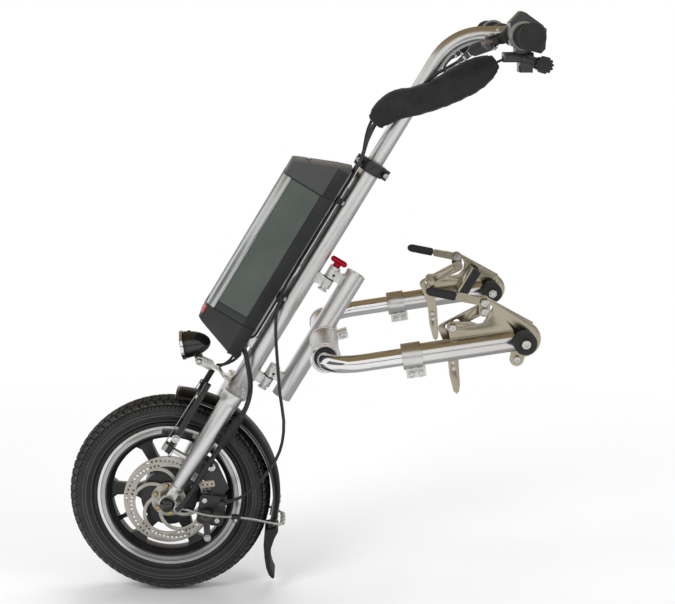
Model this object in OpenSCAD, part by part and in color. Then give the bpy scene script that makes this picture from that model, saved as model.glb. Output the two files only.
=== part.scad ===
// Front-wheel power assist for a wheelchair: a motor wheel in a raked fork, a battery on
// the steering column, and a docking bar with two latching arms behind it.
// Millimetres, +Z up, travel towards -X, rider's left at -Y, ground at z = 0.

/* [Wheel] */
// Outside diameter of the tyre
tyre_d = 317; // [290:1:340]
// Width of the tyre
tyre_w = 57; // [50:1:60]
// Thickness of the tyre casing
tyre_wall = 4.5; // [3:0.5:6]
// Diameter over the rim flanges
rim_d = 226; // [215:1:235]
// Width over the rim flanges
rim_w = 44; // [40:1:46]
// Number of cast spokes
spoke_count = 6; // [5:1:7]
// Thickness of a spoke along the axle
spoke_t = 16; // [12:1:20]
// Diameter of the motor shell
hub_d = 88; // [80:1:100]
// Width of the motor shell
hub_w = 70; // [64:1:74]
// Wall of the motor shell
hub_wall = 4; // [3:0.5:5]
// Diameter of the brake rotor
rotor_d = 140; // [120:1:160]
// Thickness of the brake rotor
rotor_t = 1.9; // [1.6:0.1:2.4]
// Diameter of the axle inside the bearings
axle_d = 17; // [15:0.5:20]
// Diameter of the threaded axle ends
axle_end_d = 12; // [10:0.5:14]

/* [Fork and column] */
// Lean of the steering column from upright, in degrees
rake = 31.2; // [28:0.1:34]
// Distance of the axle in front of the column's axis
fork_offset = 5; // [0:0.5:10]
// Distance between the fork legs' axes
fork_span = 116; // [112:1:124]
// Diameter of a fork leg at the crown
leg_d = 28.6; // [25:0.1:31]
// Diameter of a fork leg at its tip
leg_tip_d = 19; // [16:0.5:22]
// Distance from the axle to the underside of the crown
crown_rise = 188; // [184:1:196]
// Thickness of the fork crown
crown_h = 17; // [14:1:22]
// Outside diameter of the steering column
column_d = 31.8; // [31:0.1:34]
// Wall of the steering column
column_wall = 3; // [2.5:0.1:3.2]
// Distance from the axle to the column's upper end
column_top = 612; // [600:1:625]
// Width of the mudguard
guard_w = 62; // [60:1:66]

/* [Steering post] */
// Diameter of the post
post_d = 31.8; // [30:0.1:34]
// Wall of the post
post_wall = 3; // [2:0.1:4]
// Length of the post
post_len = 228; // [215:1:240]
// Distance from the axle to the post's lower end, along the column
post_low = 224; // [220:1:230]
// Distance from the steering hinge to the column's axis
hinge_gap = 32.5; // [31:0.5:36]
// Diameter of the hinge pins
pin_d = 10; // [8:0.5:12]
// Height of one hinge knuckle
knuckle_h = 15.6; // [12:0.2:18]

/* [Docking bar and arms] */
// Distance between the arms' axes
dock_span = 400; // [380:1:430]
// Diameter of the docking bar
bar_d = 25.4; // [22:0.1:27]
// Radius of the docking bar's bends
bar_bend = 55; // [45:1:60]
// Length of the bar's legs behind the cross tube
bar_leg = 215; // [200:1:225]
// Diameter of the cross sleeve that holds the bar
sleeve_d = 42; // [38:0.5:46]
// Length of the cross sleeve
sleeve_len = 270; // [240:1:280]
// Slope of the arms, in degrees
arm_rise = 8.5; // [5:0.5:12]
// Diameter of an arm
arm_d = 31.8; // [31:0.1:34]
// Distance from the cross sleeve to the front of an arm
arm_front = 110; // [105:1:120]
// Length of an arm
arm_len = 162; // [160:1:164]
// Diameter of the arm collar
collar_d = 38; // [37:0.5:42]
// Length of the arm collar
collar_len = 28; // [24:1:32]

/* [Latches] */
// Thickness of the latch plate
plate_t = 5; // [4:0.5:6]
// Distance from the arm's end to the middle of the docking roller
roller_over = 12; // [10:0.5:18]
// Diameter of the docking roller
roller_d = 33; // [28:0.5:34]
// Diameter of the wheelchair tube that the saddles take
tube_d = 25.4; // [22:0.1:26]
// Length of the saddle
saddle_len = 46; // [36:1:50]
// Distance between the lever's pivot and its crank pin
crank = 13; // [12:0.5:14]
// Length of the lever grip
lever_grip_len = 43; // [30:1:60]
// Thickness of the hook
hook_t = 4; // [3:0.5:5]

/* [Battery] */
// Width of the battery
battery_w = 92; // [84:1:110]
// Depth of the battery
battery_depth = 86; // [76:1:92]
// Length of the battery case
battery_len = 232; // [200:1:236]
// Wall of the battery case
battery_wall = 2.5; // [2:0.5:4]
// Distance from the axle to the top of the battery's base
base_top = 300; // [296:1:310]
// Thickness of the rail that the battery slides on
rail_t = 4; // [3:0.5:5]

/* [Cockpit] */
// Diameter of the stem
stem_d = 25.4; // [22:0.1:25.6]
// Distance from the axle to the start of the stem's bend
stem_rise = 793; // [770:1:800]
// Radius of the stem's bend
stem_bend = 80; // [70:1:90]
// Angle of the stem's bend, in degrees
stem_turn = 58; // [56:1:64]
// Length of the stem after its bend
stem_reach = 38; // [34:1:42]
// Diameter of the handlebar
handlebar_d = 22.2; // [20:0.1:24]
// Length of the handlebar
handlebar_w = 520; // [500:1:540]
// Diameter of a hand grip
grip_d = 34; // [31:0.5:36]
// Length of a hand grip
grip_len = 90; // [80:1:100]
// Length of a brake lever's blade
blade_len = 118; // [90:1:122]
// Diameter of the headlight
lamp_d = 45; // [40:0.5:48]
// Length of the headlight
lamp_len = 46; // [42:1:52]

/* [Hidden] */
$fn = 48;
// Clearances: running fits, standing gaps and pressed or seated fits
run = 0.05;
gap = 0.4;
seat = 0.02;

tyre_r = tyre_d / 2;
rim_r = rim_d / 2;
hub_r = hub_d / 2;
column_r = column_d / 2;
post_r = post_d / 2;
bar_r = bar_d / 2;
arm_r = arm_d / 2;
stem_r = stem_d / 2;
pin_r = pin_d / 2;
axle_r = axle_d / 2;
axle_end_r = axle_end_d / 2;
leg_y = fork_span / 2;
crown_top = crown_rise + crown_h;

// Cross sleeve in the column's frame, and its place in the part's frame
post_x = 2 * hinge_gap;
sleeve_back = 11;
sleeve_rise = 338;
sleeve_x = post_x + sleeve_back;
dock_x = (sleeve_x + fork_offset) * cos(rake) + sleeve_rise * sin(rake);
dock_z = tyre_r - (sleeve_x + fork_offset) * sin(rake) + sleeve_rise * cos(rake);

// The part's origin is on the ground, midway between its front and rear
arm_end = arm_front + arm_len;
roller_reach = arm_end + roller_over;
end_r = 26;
bend_x = stem_bend * (1 - cos(stem_turn));
bend_z = stem_bend * sin(stem_turn);
bar_at_x = bend_x + stem_reach * sin(stem_turn);
bar_at_z = stem_rise + bend_z + stem_reach * cos(stem_turn);
bar_x = (bar_at_x + fork_offset) * cos(rake) + bar_at_z * sin(rake);
throttle_pivot = [27, -39];
throttle_r = 12;
rear_reach = max(bar_x + throttle_pivot.x + throttle_r, dock_x + roller_reach * cos(arm_rise) + end_r);
axle_x = (tyre_r - rear_reach) / 2;

// Colours
silver = [0.78, 0.79, 0.80];
nickel = [0.66, 0.64, 0.58];
chrome = [0.88, 0.89, 0.91];
black = [0.05, 0.05, 0.055];
rubber = [0.09, 0.09, 0.095];
graphite = [0.20, 0.21, 0.21];
panel_grey = [0.27, 0.29, 0.28];

// Frames

// Wheel frame: origin at the axle's middle, x to the rear, z up
module wheel_frame() {
    translate([axle_x, 0, tyre_r]) children();
}

// Column frame: z along the steering column from the axle's height, x to the rear across it
module column_frame() {
    wheel_frame() rotate([0, rake, 0]) translate([fork_offset, 0, 0]) children();
}

// Arm frame: x along an arm from the cross sleeve, y outwards from the arm's axis
module arm_frame(side) {
    translate([axle_x + dock_x, 0, dock_z]) rotate([0, -arm_rise, 0])
        mirror([0, side < 0 ? 1 : 0, 0]) translate([0, dock_span / 2, 0]) children();
}

// Handlebar frame: origin at the handlebar's middle, x to the rear, z up
module handlebar_frame() {
    column_frame() translate([bar_at_x, 0, bar_at_z]) rotate([0, -rake, 0]) children();
}

// Shapes used more than once

// Ring about z, from z = 0 to z = h
module ring(r_out, r_in, h) {
    difference() {
        cylinder(r = r_out, h = h);
        translate([0, 0, -1]) cylinder(r = r_in, h = h + 2);
    }
}

// Turns a shape made about z so that it lies about y, pointing to +y
module along_y() {
    rotate([-90, 0, 0]) children();
}

// Turns an x-y outline that stands for x-z, and gives it a thickness from y0 to y1
module plate_xz(y0, y1) {
    translate([0, y1, 0]) rotate([90, 0, 0]) linear_extrude(y1 - y0) children();
}

// Link with round ends between two points of a plane, as one closed outline
link_steps = 16;
module link2d(p, q, r) {
    turn = atan2(q.y - p.y, q.x - p.x);
    polygon(concat(
        ellipse(q, r, r, turn - 90, turn + 90, link_steps),
        ellipse(p, r, r, turn + 90, turn + 270, link_steps)));
}

// Rectangle with rounded corners about the origin
module rounded2d(w, h, r) {
    square([w - 2 * r, h], center = true);
    square([w, h - 2 * r], center = true);
    for (sx = [-1, 1], sy = [-1, 1]) translate([sx * (w / 2 - r), sy * (h / 2 - r)]) circle(r);
}

// Points of an ellipse about c, from angle a0 to a1
function ellipse(c, rx, ry, a0, a1, n) =
    [for (i = [0 : n]) let (a = a0 + (a1 - a0) * i / n) c + [rx * cos(a), ry * sin(a)]];

// Smooth path through points, with n steps between neighbours
function curve_point(a, b, c, d, t) =
    0.5 * (2 * b + (c - a) * t + (2 * a - 5 * b + 4 * c - d) * t * t
        + (3 * b - a - 3 * c + d) * t * t * t);
function smooth_path(p, n) = let (last = len(p) - 1) concat(
    [for (i = [0 : last - 1], k = [0 : n - 1]) curve_point(
        i == 0 ? 2 * p[0] - p[1] : p[i - 1], p[i], p[i + 1],
        i == last - 1 ? 2 * p[last] - p[last - 1] : p[i + 2], k / n)],
    [p[last]]);
function unit(v) = v / norm(v);
function heading(p, i) = unit(p[min(i + 1, len(p) - 1)] - p[max(i - 1, 0)]);

// Closed skin over rings of equal count, with triangular faces
module skin(rings) {
    m = len(rings[0]);
    n = len(rings);
    points = [for (r = rings) each r];
    sides = [for (i = [0 : n - 2], j = [0 : m - 1]) let (k = (j + 1) % m)
        each [[i * m + j, i * m + k, (i + 1) * m + k], [i * m + j, (i + 1) * m + k, (i + 1) * m + j]]];
    first = [for (j = [1 : m - 2]) [0, j + 1, j]];
    final = [for (j = [1 : m - 2]) [(n - 1) * m, (n - 1) * m + j, (n - 1) * m + j + 1]];
    polyhedron(points = points, faces = concat(sides, first, final));
}

// Round cable along points, with its rings set out from a reference direction
cable_sides = 8;
module cable(points, d, steps, ref) {
    path = smooth_path(points, steps);
    skin([for (i = [0 : len(path) - 1])
        let (t = heading(path, i), e = unit(cross(t, ref)), f = cross(t, e))
        [for (j = [0 : cable_sides - 1]) let (a = 360 * j / cable_sides)
            path[i] + d / 2 * (cos(a) * e + sin(a) * f)]]);
}

// Wheel

bead_r = rim_r - 11;
well_r = bead_r - 7;
rim_wall = 3.4;
rim_in_r = well_r - rim_wall;
flange_t = 3;
tyre_rise = tyre_r - 24.5;
bead_w = rim_w / 2 - flange_t - gap;
// Grooves round the tread, by their angle about the middle of the tyre's section
groove_at = [-54.1, -32.5, -10.8, 10.8, 32.5, 54.1];
groove_half = 2.4;
groove_depth = 2;

module tyre() {
    high = tyre_r - tyre_rise;
    wide = tyre_w / 2;
    middle = [tyre_rise, 0];
    side = 180 - asin((bead_w - 0.6) / wide);
    from = concat([-side], [for (g = groove_at) g + groove_half]);
    to = concat([for (g = groove_at) g - groove_half], [side]);
    floor_high = high - groove_depth;
    floor_wide = wide - groove_depth;
    outer = [for (i = [0 : len(from) - 1]) each concat(
        ellipse(middle, high, wide, from[i], to[i], ceil((to[i] - from[i]) / 6)),
        i == len(groove_at) ? [] : ellipse(middle, floor_high, floor_wide, to[i], from[i + 1], 1))];
    inner = ellipse(middle, high - tyre_wall, wide - tyre_wall, side - 14, 14 - side, 32);
    bead = bead_r + gap;
    color(rubber) wheel_frame() along_y() rotate_extrude($fn = 96) polygon(concat(
        [[bead, -bead_w]], outer, [[bead, bead_w], [bead, bead_w - 7]], inner, [[bead, 7 - bead_w]]));
}

// Filling valve, by its angle round the wheel
valve_at = 208;
valve_d = 7;
tube_wall = 2;
module inner_tube() {
    round = tyre_r - tyre_rise - tyre_wall - gap;
    color(black) wheel_frame() {
        along_y() rotate_extrude($fn = 96) translate([tyre_rise, 0]) difference() {
            circle(round);
            circle(round - tube_wall);
        }
        // Filling valve through the rim
        rotate([0, -valve_at, 0]) translate([rim_in_r - 18, 0, 0]) rotate([0, 90, 0])
            cylinder(d = valve_d, h = tyre_rise - round + tube_wall / 2 - rim_in_r + 18);
    }
}

module rim_section() {
    half = rim_w / 2;
    polygon([
        [rim_in_r, -10], [bead_r - rim_wall, -half + 5], [bead_r - rim_wall, -half], [rim_r, -half],
        [rim_r, -half + flange_t], [bead_r, -half + flange_t], [bead_r, -11], [well_r, -9],
        [well_r, 9], [bead_r, 11], [bead_r, half - flange_t], [rim_r, half - flange_t],
        [rim_r, half], [bead_r - rim_wall, half], [bead_r - rim_wall, half - 5], [rim_in_r, 10]]);
}

hub_left = -30;
hub_right = hub_left + hub_w;
bearing_d = 35;
bearing_w = 10;
rotor_seat = -38;
rotor_pcd = 44;
rotor_boss_r = 27;
rotor_bolt_d = 5;
rotor_turn = 37;
cover_t = 5;
spoke_in_w = 20;
spoke_out_w = 15;
spoke_turn = 57;
spoke_flare = 7;

module wheel_casting() {
    spoke_reach = rim_in_r + 0.5;
    spoke_low = -spoke_out_w / 2 - 4;
    spoke_high = spoke_out_w / 2 - 1;
    color(black) wheel_frame() difference() {
        union() {
            along_y() rotate_extrude($fn = 96) rim_section();
            // Broad spokes with a slight sweep, flared at the hub and the rim
            for (i = [0 : spoke_count - 1]) rotate([0, -spoke_turn - i * 360 / spoke_count, 0])
                plate_xz(-spoke_t / 2, spoke_t / 2) polygon([
                    [hub_r - 3, -spoke_in_w / 2 - 5], [hub_r + 6, -spoke_in_w / 2 - 1],
                    [hub_r + 20, spoke_low + 1], [spoke_reach - spoke_flare - 2, spoke_low],
                    [spoke_reach, spoke_low - spoke_flare], [spoke_reach, spoke_high + spoke_flare],
                    [spoke_reach - spoke_flare - 2, spoke_high], [hub_r + 20, spoke_high - 1],
                    [hub_r + 6, spoke_in_w / 2 - 1], [hub_r - 3, spoke_in_w / 2 + 5]]);
            translate([0, hub_left, 0]) along_y() cylinder(r = hub_r, h = hub_w - cover_t);
            translate([0, rotor_seat, 0]) along_y() cylinder(r = rotor_boss_r, h = hub_left - rotor_seat);
        }
        // Motor chamber, bearing seat and axle way
        translate([0, hub_left + hub_wall + bearing_w, 0]) along_y()
            cylinder(r = hub_r - hub_wall, h = hub_w);
        translate([0, hub_left + hub_wall, 0]) along_y()
            cylinder(d = bearing_d + 2 * seat, h = bearing_w + 1);
        translate([0, rotor_seat - 1, 0]) along_y() cylinder(r = axle_r + 1.5, h = hub_w);
        for (i = [0 : 5]) rotate([0, -rotor_turn - i * 60, 0])
            translate([rotor_pcd / 2, rotor_seat - 1, 0]) along_y()
                cylinder(d = rotor_bolt_d + 2 * seat, h = 12);
        rotate([0, -valve_at, 0]) translate([rim_in_r - 12, 0, 0]) rotate([0, 90, 0])
            cylinder(d = valve_d + 2 * gap, h = 30);
    }
}

module motor_cover() {
    rim = hub_r - hub_wall - seat;
    color(graphite) wheel_frame() translate([0, hub_right - cover_t, 0]) along_y() difference() {
        union() {
            cylinder(r = hub_r, h = cover_t);
            translate([0, 0, -bearing_w]) cylinder(d = bearing_d + 8, h = bearing_w + 1);
            translate([0, 0, -4]) ring(rim, rim - 3, 4.5);
            cylinder(d = bearing_d + 4, h = cover_t + 3);
        }
        translate([0, 0, -bearing_w - 1]) cylinder(d = bearing_d + 2 * seat, h = bearing_w + 1);
        translate([0, 0, -2]) cylinder(r = axle_r + 1.5, h = 20);
    }
}

air_gap = 0.6;
magnet_t = 3.4;
stator_w = 30;
stator_y = -12;
module magnet_ring() {
    r = hub_r - hub_wall - seat;
    color(nickel) wheel_frame() translate([0, stator_y, 0]) along_y() ring(r, r - magnet_t, stator_w);
}

module motor_stator() {
    r = hub_r - hub_wall - seat - magnet_t - air_gap;
    slots = 18;
    color([0.72, 0.42, 0.2]) wheel_frame() translate([0, stator_y, 0]) along_y() difference() {
        ring(r, axle_r + seat, stator_w);
        for (i = [0 : slots - 1]) rotate(i * 360 / slots) translate([r - 11, -1.6, -1])
            cube([9, 3.2, stator_w + 2]);
    }
}

module wheel_bearings() {
    seats = [hub_left + hub_wall, hub_right - cover_t - bearing_w];
    color(silver) wheel_frame() for (y = seats) translate([0, y, 0]) along_y()
        ring(bearing_d / 2, axle_r + run, bearing_w);
}

rotor_y = rotor_seat - rotor_t;
rotor_ring = 17;
rotor_arms = 6;
// Arm's bow: middle and radius of its arc, and the angle of the bolt behind its foot
bow_at = [7.3, -24.2];
bow_r = 30;
bow_w = 5.4;
bow_turn = 21;
vent_d = 3.2;
vent_count = 13;
vent_step = 6.1;
vent_turn = 8;

module brake_rotor() {
    outer = rotor_d / 2;
    inner = outer - rotor_ring;
    color(silver) wheel_frame() rotate([0, -rotor_turn, 0]) translate([0, rotor_y, 0]) along_y()
        linear_extrude(rotor_t) difference() {
            union() {
                difference() {
                    circle(outer, $fn = 96);
                    circle(inner, $fn = 96);
                }
                circle(rotor_boss_r);
                // Swept arms, each a bow between the boss and the ring
                for (i = [0 : rotor_arms - 1]) rotate(-bow_turn - i * 360 / rotor_arms) intersection() {
                    translate(bow_at) difference() {
                        circle(bow_r + bow_w / 2);
                        circle(bow_r - bow_w / 2);
                    }
                    difference() {
                        circle(inner + 2);
                        circle(rotor_boss_r - 2);
                    }
                    polygon([[0, 0], [outer, 30], [outer, -outer], [20, -outer]]);
                }
            }
            circle(axle_r + 1.5);
            for (i = [0 : 5]) rotate(-i * 60) translate([rotor_pcd / 2, 0])
                circle(d = rotor_bolt_d + 2 * seat);
            // Rows of vent holes that wind outwards
            for (i = [0 : rotor_arms - 1], k = [0 : vent_count - 1])
                rotate(-vent_turn - i * 360 / rotor_arms - k * vent_step)
                    translate([inner + 3 + k * (rotor_ring - 7) / (vent_count - 1), 0])
                        circle(d = vent_d, $fn = 16);
        }
}

module rotor_bolts() {
    color(silver) wheel_frame() for (i = [0 : 5]) rotate([0, -rotor_turn - i * 60, 0])
        translate([rotor_pcd / 2, rotor_y, 0]) {
            translate([0, -2.6, 0]) along_y() cylinder(r = 4.4, h = 2.6);
            translate([0, -1, 0]) along_y() cylinder(d = rotor_bolt_d, h = 10);
        }
}

dropout_t = 6;
axle_reach = leg_y + dropout_t / 2 + 11;
module wheel_axle() {
    shoulder = leg_y - dropout_t / 2;
    color(silver) wheel_frame() along_y() {
        translate([0, 0, -shoulder]) cylinder(r = axle_r, h = 2 * shoulder);
        translate([0, 0, -axle_reach]) cylinder(r = axle_end_r, h = 2 * axle_reach);
    }
}

nut_h = 9;
cap_r = 11.5;
module axle_nuts() {
    color(black) wheel_frame() for (s = [-1, 1]) scale([1, s, 1])
        translate([0, leg_y + dropout_t / 2, 0]) along_y() difference() {
            rotate_extrude() polygon(concat([[0, 0], [cap_r, 0], [cap_r, nut_h - 2]],
                ellipse([cap_r - 5, nut_h - 2], 5, 6, 0, 90, 6), [[0, nut_h + 4]]));
            translate([0, 0, -1]) cylinder(r = axle_end_r + seat, h = nut_h + 3.5);
        }
}

// Fork and column

leg_low = 24;
leg_taper = 104;
stud_r = 4;
stud_rise = 76;
stud_y = leg_y - 8;
stud_reach = 46;

// Round of one leg, grown by g
module leg_round(g) {
    translate([-fork_offset, -leg_y, 0]) {
        translate([0, 0, leg_low - g])
            cylinder(d1 = leg_tip_d + 2 * g, d2 = leg_d + 2 * g, h = leg_taper - leg_low + g);
        translate([0, 0, leg_taper - seat])
            cylinder(d = leg_d + 2 * g, h = crown_rise - leg_taper + seat + g);
    }
}

module fork_leg() {
    difference() {
        union() {
            leg_round(0);
            // Dropout plate under the leg
            translate([-fork_offset, 0, 0]) plate_xz(-leg_y - dropout_t / 2, dropout_t / 2 - leg_y) {
                circle(13);
                link2d([0, 0], [0, leg_low + 12], 8);
                link2d([0, 0], [17, 4], 6);
            }
            // Brake stud that points forwards
            translate([-fork_offset - stud_reach, -stud_y, stud_rise]) rotate([0, 90, 0])
                cylinder(r = stud_r, h = stud_reach);
        }
        translate([-fork_offset, -axle_reach, 0]) along_y()
            cylinder(r = axle_end_r + seat, h = 2 * dropout_t + 30);
    }
}

module fork_legs() {
    color(silver) column_frame() for (m = [0, 1]) mirror([0, m, 0]) fork_leg();
}

module fork_crown() {
    color(silver) column_frame() translate([0, 0, crown_rise]) linear_extrude(crown_h) {
        for (s = [-1, 1]) translate([-fork_offset, s * leg_y]) circle(d = leg_d + 4);
        translate([-fork_offset - 13, -leg_y]) square([26, fork_span]);
        circle(column_r + 5);
    }
}

knuckle_r = 9;
web_w = 13;
upper_hinge = 408;
lower_hinge = 226;
hinges = [lower_hinge, upper_hinge];
knuckle_gap = 0.4;

// Knuckle about the hinge with a web that reaches across to x, bored for a pin of radius r
module knuckle(x, r) {
    difference() {
        union() {
            translate([hinge_gap, 0, 0]) cylinder(r = knuckle_r, h = knuckle_h);
            translate([min(x, hinge_gap), -web_w / 2, 0]) cube([abs(x - hinge_gap), web_w, knuckle_h]);
        }
        translate([hinge_gap, 0, -1]) cylinder(r = r, h = knuckle_h + 2);
    }
}

module column_tube() {
    color(silver) column_frame() difference() {
        union() {
            translate([0, 0, crown_top]) cylinder(r = column_r, h = column_top - crown_top);
            for (z = hinges) translate([0, 0, z]) knuckle(column_r - 3, pin_r + run);
        }
        translate([0, 0, crown_top - 1]) cylinder(r = column_r - column_wall, h = column_top);
    }
}

guard_r = 171;
guard_t = 2.5;
guard_drop = 8;
guard_at = [3, -1];
guard_front = 86;
guard_rear = -18;
guard_foot = 14;

module mudguard() {
    half = guard_w / 2;
    top = guard_r - guard_t;
    arch = [for (i = [0 : 8]) let (a = -90 + 22.5 * i)
        [top - guard_drop * pow(abs(sin(a)), 3), half * sin(a)]];
    shell = concat(arch, [for (i = [8 : -1 : 0]) arch[i] + [guard_t, 0]]);
    color(black) {
        wheel_frame() translate([guard_at.x, 0, guard_at.y]) rotate([0, -guard_front, 0]) along_y()
            rotate_extrude(angle = guard_front - guard_rear, $fn = 96) polygon(shell);
        // Foot that bolts under the crown
        column_frame() difference() {
            translate([-guard_foot / 2, -9, guard_r - 8]) cube([guard_foot, 18, crown_rise - guard_r + 8]);
            translate([-fork_offset, 0, 0]) rotate([0, -rake, 0]) translate([guard_at.x, 15, guard_at.y])
                rotate([90, 0, 0]) cylinder(r = guard_r - 1, h = 30, $fn = 96);
        }
    }
}

stay_d = 4;
stay_left = [
    [16, -63.3, -5], [30, -67, -8], [56, -73, -14], [80, -72, -18], [102, -63, -22], [134, -46, -32],
    [162, -36, -42], [174, -30, -46], [177.5, -16, -46], [177.5, 0, -46]
];
module guard_stay() {
    right = [for (i = [len(stay_left) - 2 : -1 : 0]) let (p = stay_left[i]) [p.x, -p.y, p.z]];
    color(silver) wheel_frame() cable(concat(stay_left, right), stay_d, 2, [0, 0.2, 1]);
}

flap_w = 52;
flap_t = 3;
module mud_flap() {
    color(black) wheel_frame() difference() {
        plate_xz(-flap_w / 2, flap_w / 2) polygon([
            [150, -57.6], [167, -54.3], [170.5, -60], [164.5, -71], [159.5, -86], [157, -102],
            [157.5, -115], [160, -126], [164, -135], [163, -137.5], [160, -137.5], [155, -132],
            [151, -121], [148.5, -104], [147, -82], [148.5, -64]]);
        plate_xz(-flap_w / 2 + flap_t, flap_w / 2 - flap_t) polygon([
            [138, -40], [163, -50], [167, -61], [161, -72], [156.3, -87], [153.8, -101], [151, -109],
            [138, -109]]);
    }
}

// Disc brake

caliper_at = -10;
caliper_r = [48, 90];
caliper_half = 24;
caliper_y = [-60, -28];
pad_t = 5;
pad_gap = 0.4;
arm_pivot_r = 62;
arm_pivot = [arm_pivot_r, -8];
caliper_bolt_r = 4;
cable_stop = [84, 17];
cable_stop_y = -76;

module caliper_frame() {
    wheel_frame() rotate([0, -caliper_at, 0]) children();
}

module disc_caliper() {
    slot = [rotor_y - pad_t - pad_gap, rotor_seat + pad_t + pad_gap];
    pad = [caliper_r[0] + 4, -14, 16, 28];
    color(black) {
        caliper_frame() difference() {
            plate_xz(caliper_y[0], caliper_y[1])
                translate([(caliper_r[0] + caliper_r[1]) / 2, 0])
                    rounded2d(caliper_r[1] - caliper_r[0], 2 * caliper_half, 8);
            // Way for the rotor and its pads
            translate([caliper_r[0] - 1, slot[0], -caliper_half - 1])
                cube([rotor_d / 2 + 3 - caliper_r[0], slot[1] - slot[0], 2 * caliper_half + 2]);
            translate([arm_pivot.x, caliper_y[0] - 1, arm_pivot.y]) along_y()
                cylinder(r = caliper_bolt_r + run, h = 12);
        }
        // Stop for the brake cable's end
        caliper_frame() translate([cable_stop.x, cable_stop_y, cable_stop.y]) along_y()
            cylinder(r = 5, h = caliper_y[0] - cable_stop_y + 1);
        // Pads on both faces of the rotor
        caliper_frame() for (y = [slot[0], rotor_seat + pad_gap]) translate([pad[0], y, pad[1]])
            cube([pad[2], pad_t, pad[3]]);
        // Carrier plate between the fork leg and the caliper
        difference() {
            column_frame() plate_xz(-50, -45) polygon([
                [-2, 66], [-2, 96], [30, 92], [66, 66], [60, 40], [34, 56]]);
            column_frame() leg_round(gap);
            caliper_frame() translate([caliper_r[0] - 30, slot[0], -caliper_half - 30])
                cube([rotor_d / 2 + 3 - caliper_r[0] + 30, slot[1] - slot[0], 2 * caliper_half + 60]);
            column_frame() translate([leg_d / 2 - fork_offset + 16, -60, 82]) along_y()
                cylinder(r = 3, h = 30);
        }
    }
}

caliper_arm_len = 36;
caliper_arm_t = 4;
module caliper_arm() {
    out = caliper_y[0] - gap;
    color(graphite) caliper_frame() {
        plate_xz(out - caliper_arm_t, out) {
            translate(arm_pivot) circle(9);
            link2d(arm_pivot, arm_pivot + [8, -caliper_arm_len], 5);
        }
        translate([arm_pivot.x, out - caliper_arm_t - 4, arm_pivot.y]) along_y() cylinder(r = 8, h = 5);
        translate([arm_pivot.x, out - 1, arm_pivot.y]) along_y() cylinder(r = caliper_bolt_r, h = 11);
    }
}

// Rim brake on the fork's studs

arm_t = 9;
shoe_len = 48;
shoe_gap = 2.2;
shoe_rise = 95;
shoe_tilt = 23;
shoe_t = 9;
brake_arm_top = 190;
module rim_brake_arm() {
    shoe_y = rim_w / 2 + shoe_gap;
    front = -fork_offset - stud_reach + 1;
    color(black) column_frame() {
        // Arm that swings about its stud
        difference() {
            translate([front, 0, 0]) rotate([90, 0, 90]) linear_extrude(arm_t) {
                translate([-stud_y, stud_rise]) circle(9);
                link2d([-stud_y, stud_rise], [-stud_y + 2, shoe_rise + 12], 6);
                link2d([-stud_y + 2, shoe_rise + 12], [-stud_y + 4, brake_arm_top], 5);
            }
            translate([front - 1, -stud_y, stud_rise]) rotate([0, 90, 0])
                cylinder(r = stud_r + run, h = arm_t + 2);
        }
        // Shoe and the post that holds it
        translate([front + arm_t / 2, 0, shoe_rise]) rotate([0, -shoe_tilt, 0])
            translate([-shoe_len / 2, -shoe_y - shoe_t, -4]) cube([shoe_len, shoe_t, 8]);
        translate([front + arm_t / 2, -stud_y + 5, shoe_rise]) along_y()
            cylinder(r = 3.4, h = stud_y - shoe_y - shoe_t - 4);
    }
}
module rim_brake_arm_left() {
    rim_brake_arm();
}
module rim_brake_arm_right() {
    mirror([0, 1, 0]) rim_brake_arm();
}

// Battery

rail_gap = 0.4;
battery_rear = -column_r - 10;
battery_front = battery_rear - battery_depth;
tongue = [4, 8];
tongue_d = [5, 4];
rail_back = battery_rear + rail_gap;
rail_w = 20;
rail_low = 252;
rail_high = 582;
panel_back = 21;
corner_r = 13;
cap_front_h = 22;
cap_rear_h = 58;
case_top = base_top + battery_len;
cap_top = case_top + cap_rear_h;

// Battery cross section, taken in by g on every side
module battery_section(g) {
    half = battery_w / 2 - g;
    front = battery_front + g;
    rear = battery_rear - g;
    side_end = battery_rear - panel_back;
    r = corner_r - g;
    for (s = [-1, 1]) translate([front + r, s * (half - r)]) circle(r);
    polygon([
        [front + r, -half], [side_end, -half], [rear, -half + 15], [rear, half - 15],
        [side_end, half], [front + r, half]]);
    translate([front, r - half]) square([r + 1, 2 * (half - r)]);
}

// Groove for the rail's tongue
module tongue_way(c) {
    translate([rail_back - tongue_d[0] - c, -tongue[0] - c])
        square([tongue_d[0] + 2 + c, 2 * (tongue[0] + c)]);
    translate([rail_back - tongue_d[0] - tongue_d[1] - c, -tongue[1] - c])
        square([tongue_d[1] + 2 * c, 2 * (tongue[1] + c)]);
}

module battery_case() {
    cavity_rear = rail_back - tongue_d[0] - tongue_d[1] - 3;
    color(panel_grey) column_frame() difference() {
        translate([0, 0, base_top + gap]) linear_extrude(battery_len - gap) difference() {
            battery_section(0);
            tongue_way(gap);
        }
        translate([0, 0, base_top + gap + battery_wall]) linear_extrude(battery_len) intersection() {
            battery_section(battery_wall);
            translate([battery_front, -battery_w / 2]) square([cavity_rear - battery_front, battery_w]);
        }
    }
}

module battery_cap() {
    rise = cap_rear_h - cap_front_h;
    color(graphite) column_frame() difference() {
        translate([0, 0, case_top]) linear_extrude(cap_rear_h) battery_section(0);
        translate([battery_front, -battery_w, case_top + cap_front_h])
            rotate([0, -atan2(rise, battery_depth), 0])
                cube([2 * battery_depth, 2 * battery_w, 2 * cap_rear_h]);
        translate([0, 0, case_top - 1]) linear_extrude(cap_rear_h - 6) tongue_way(gap);
    }
}

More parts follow.
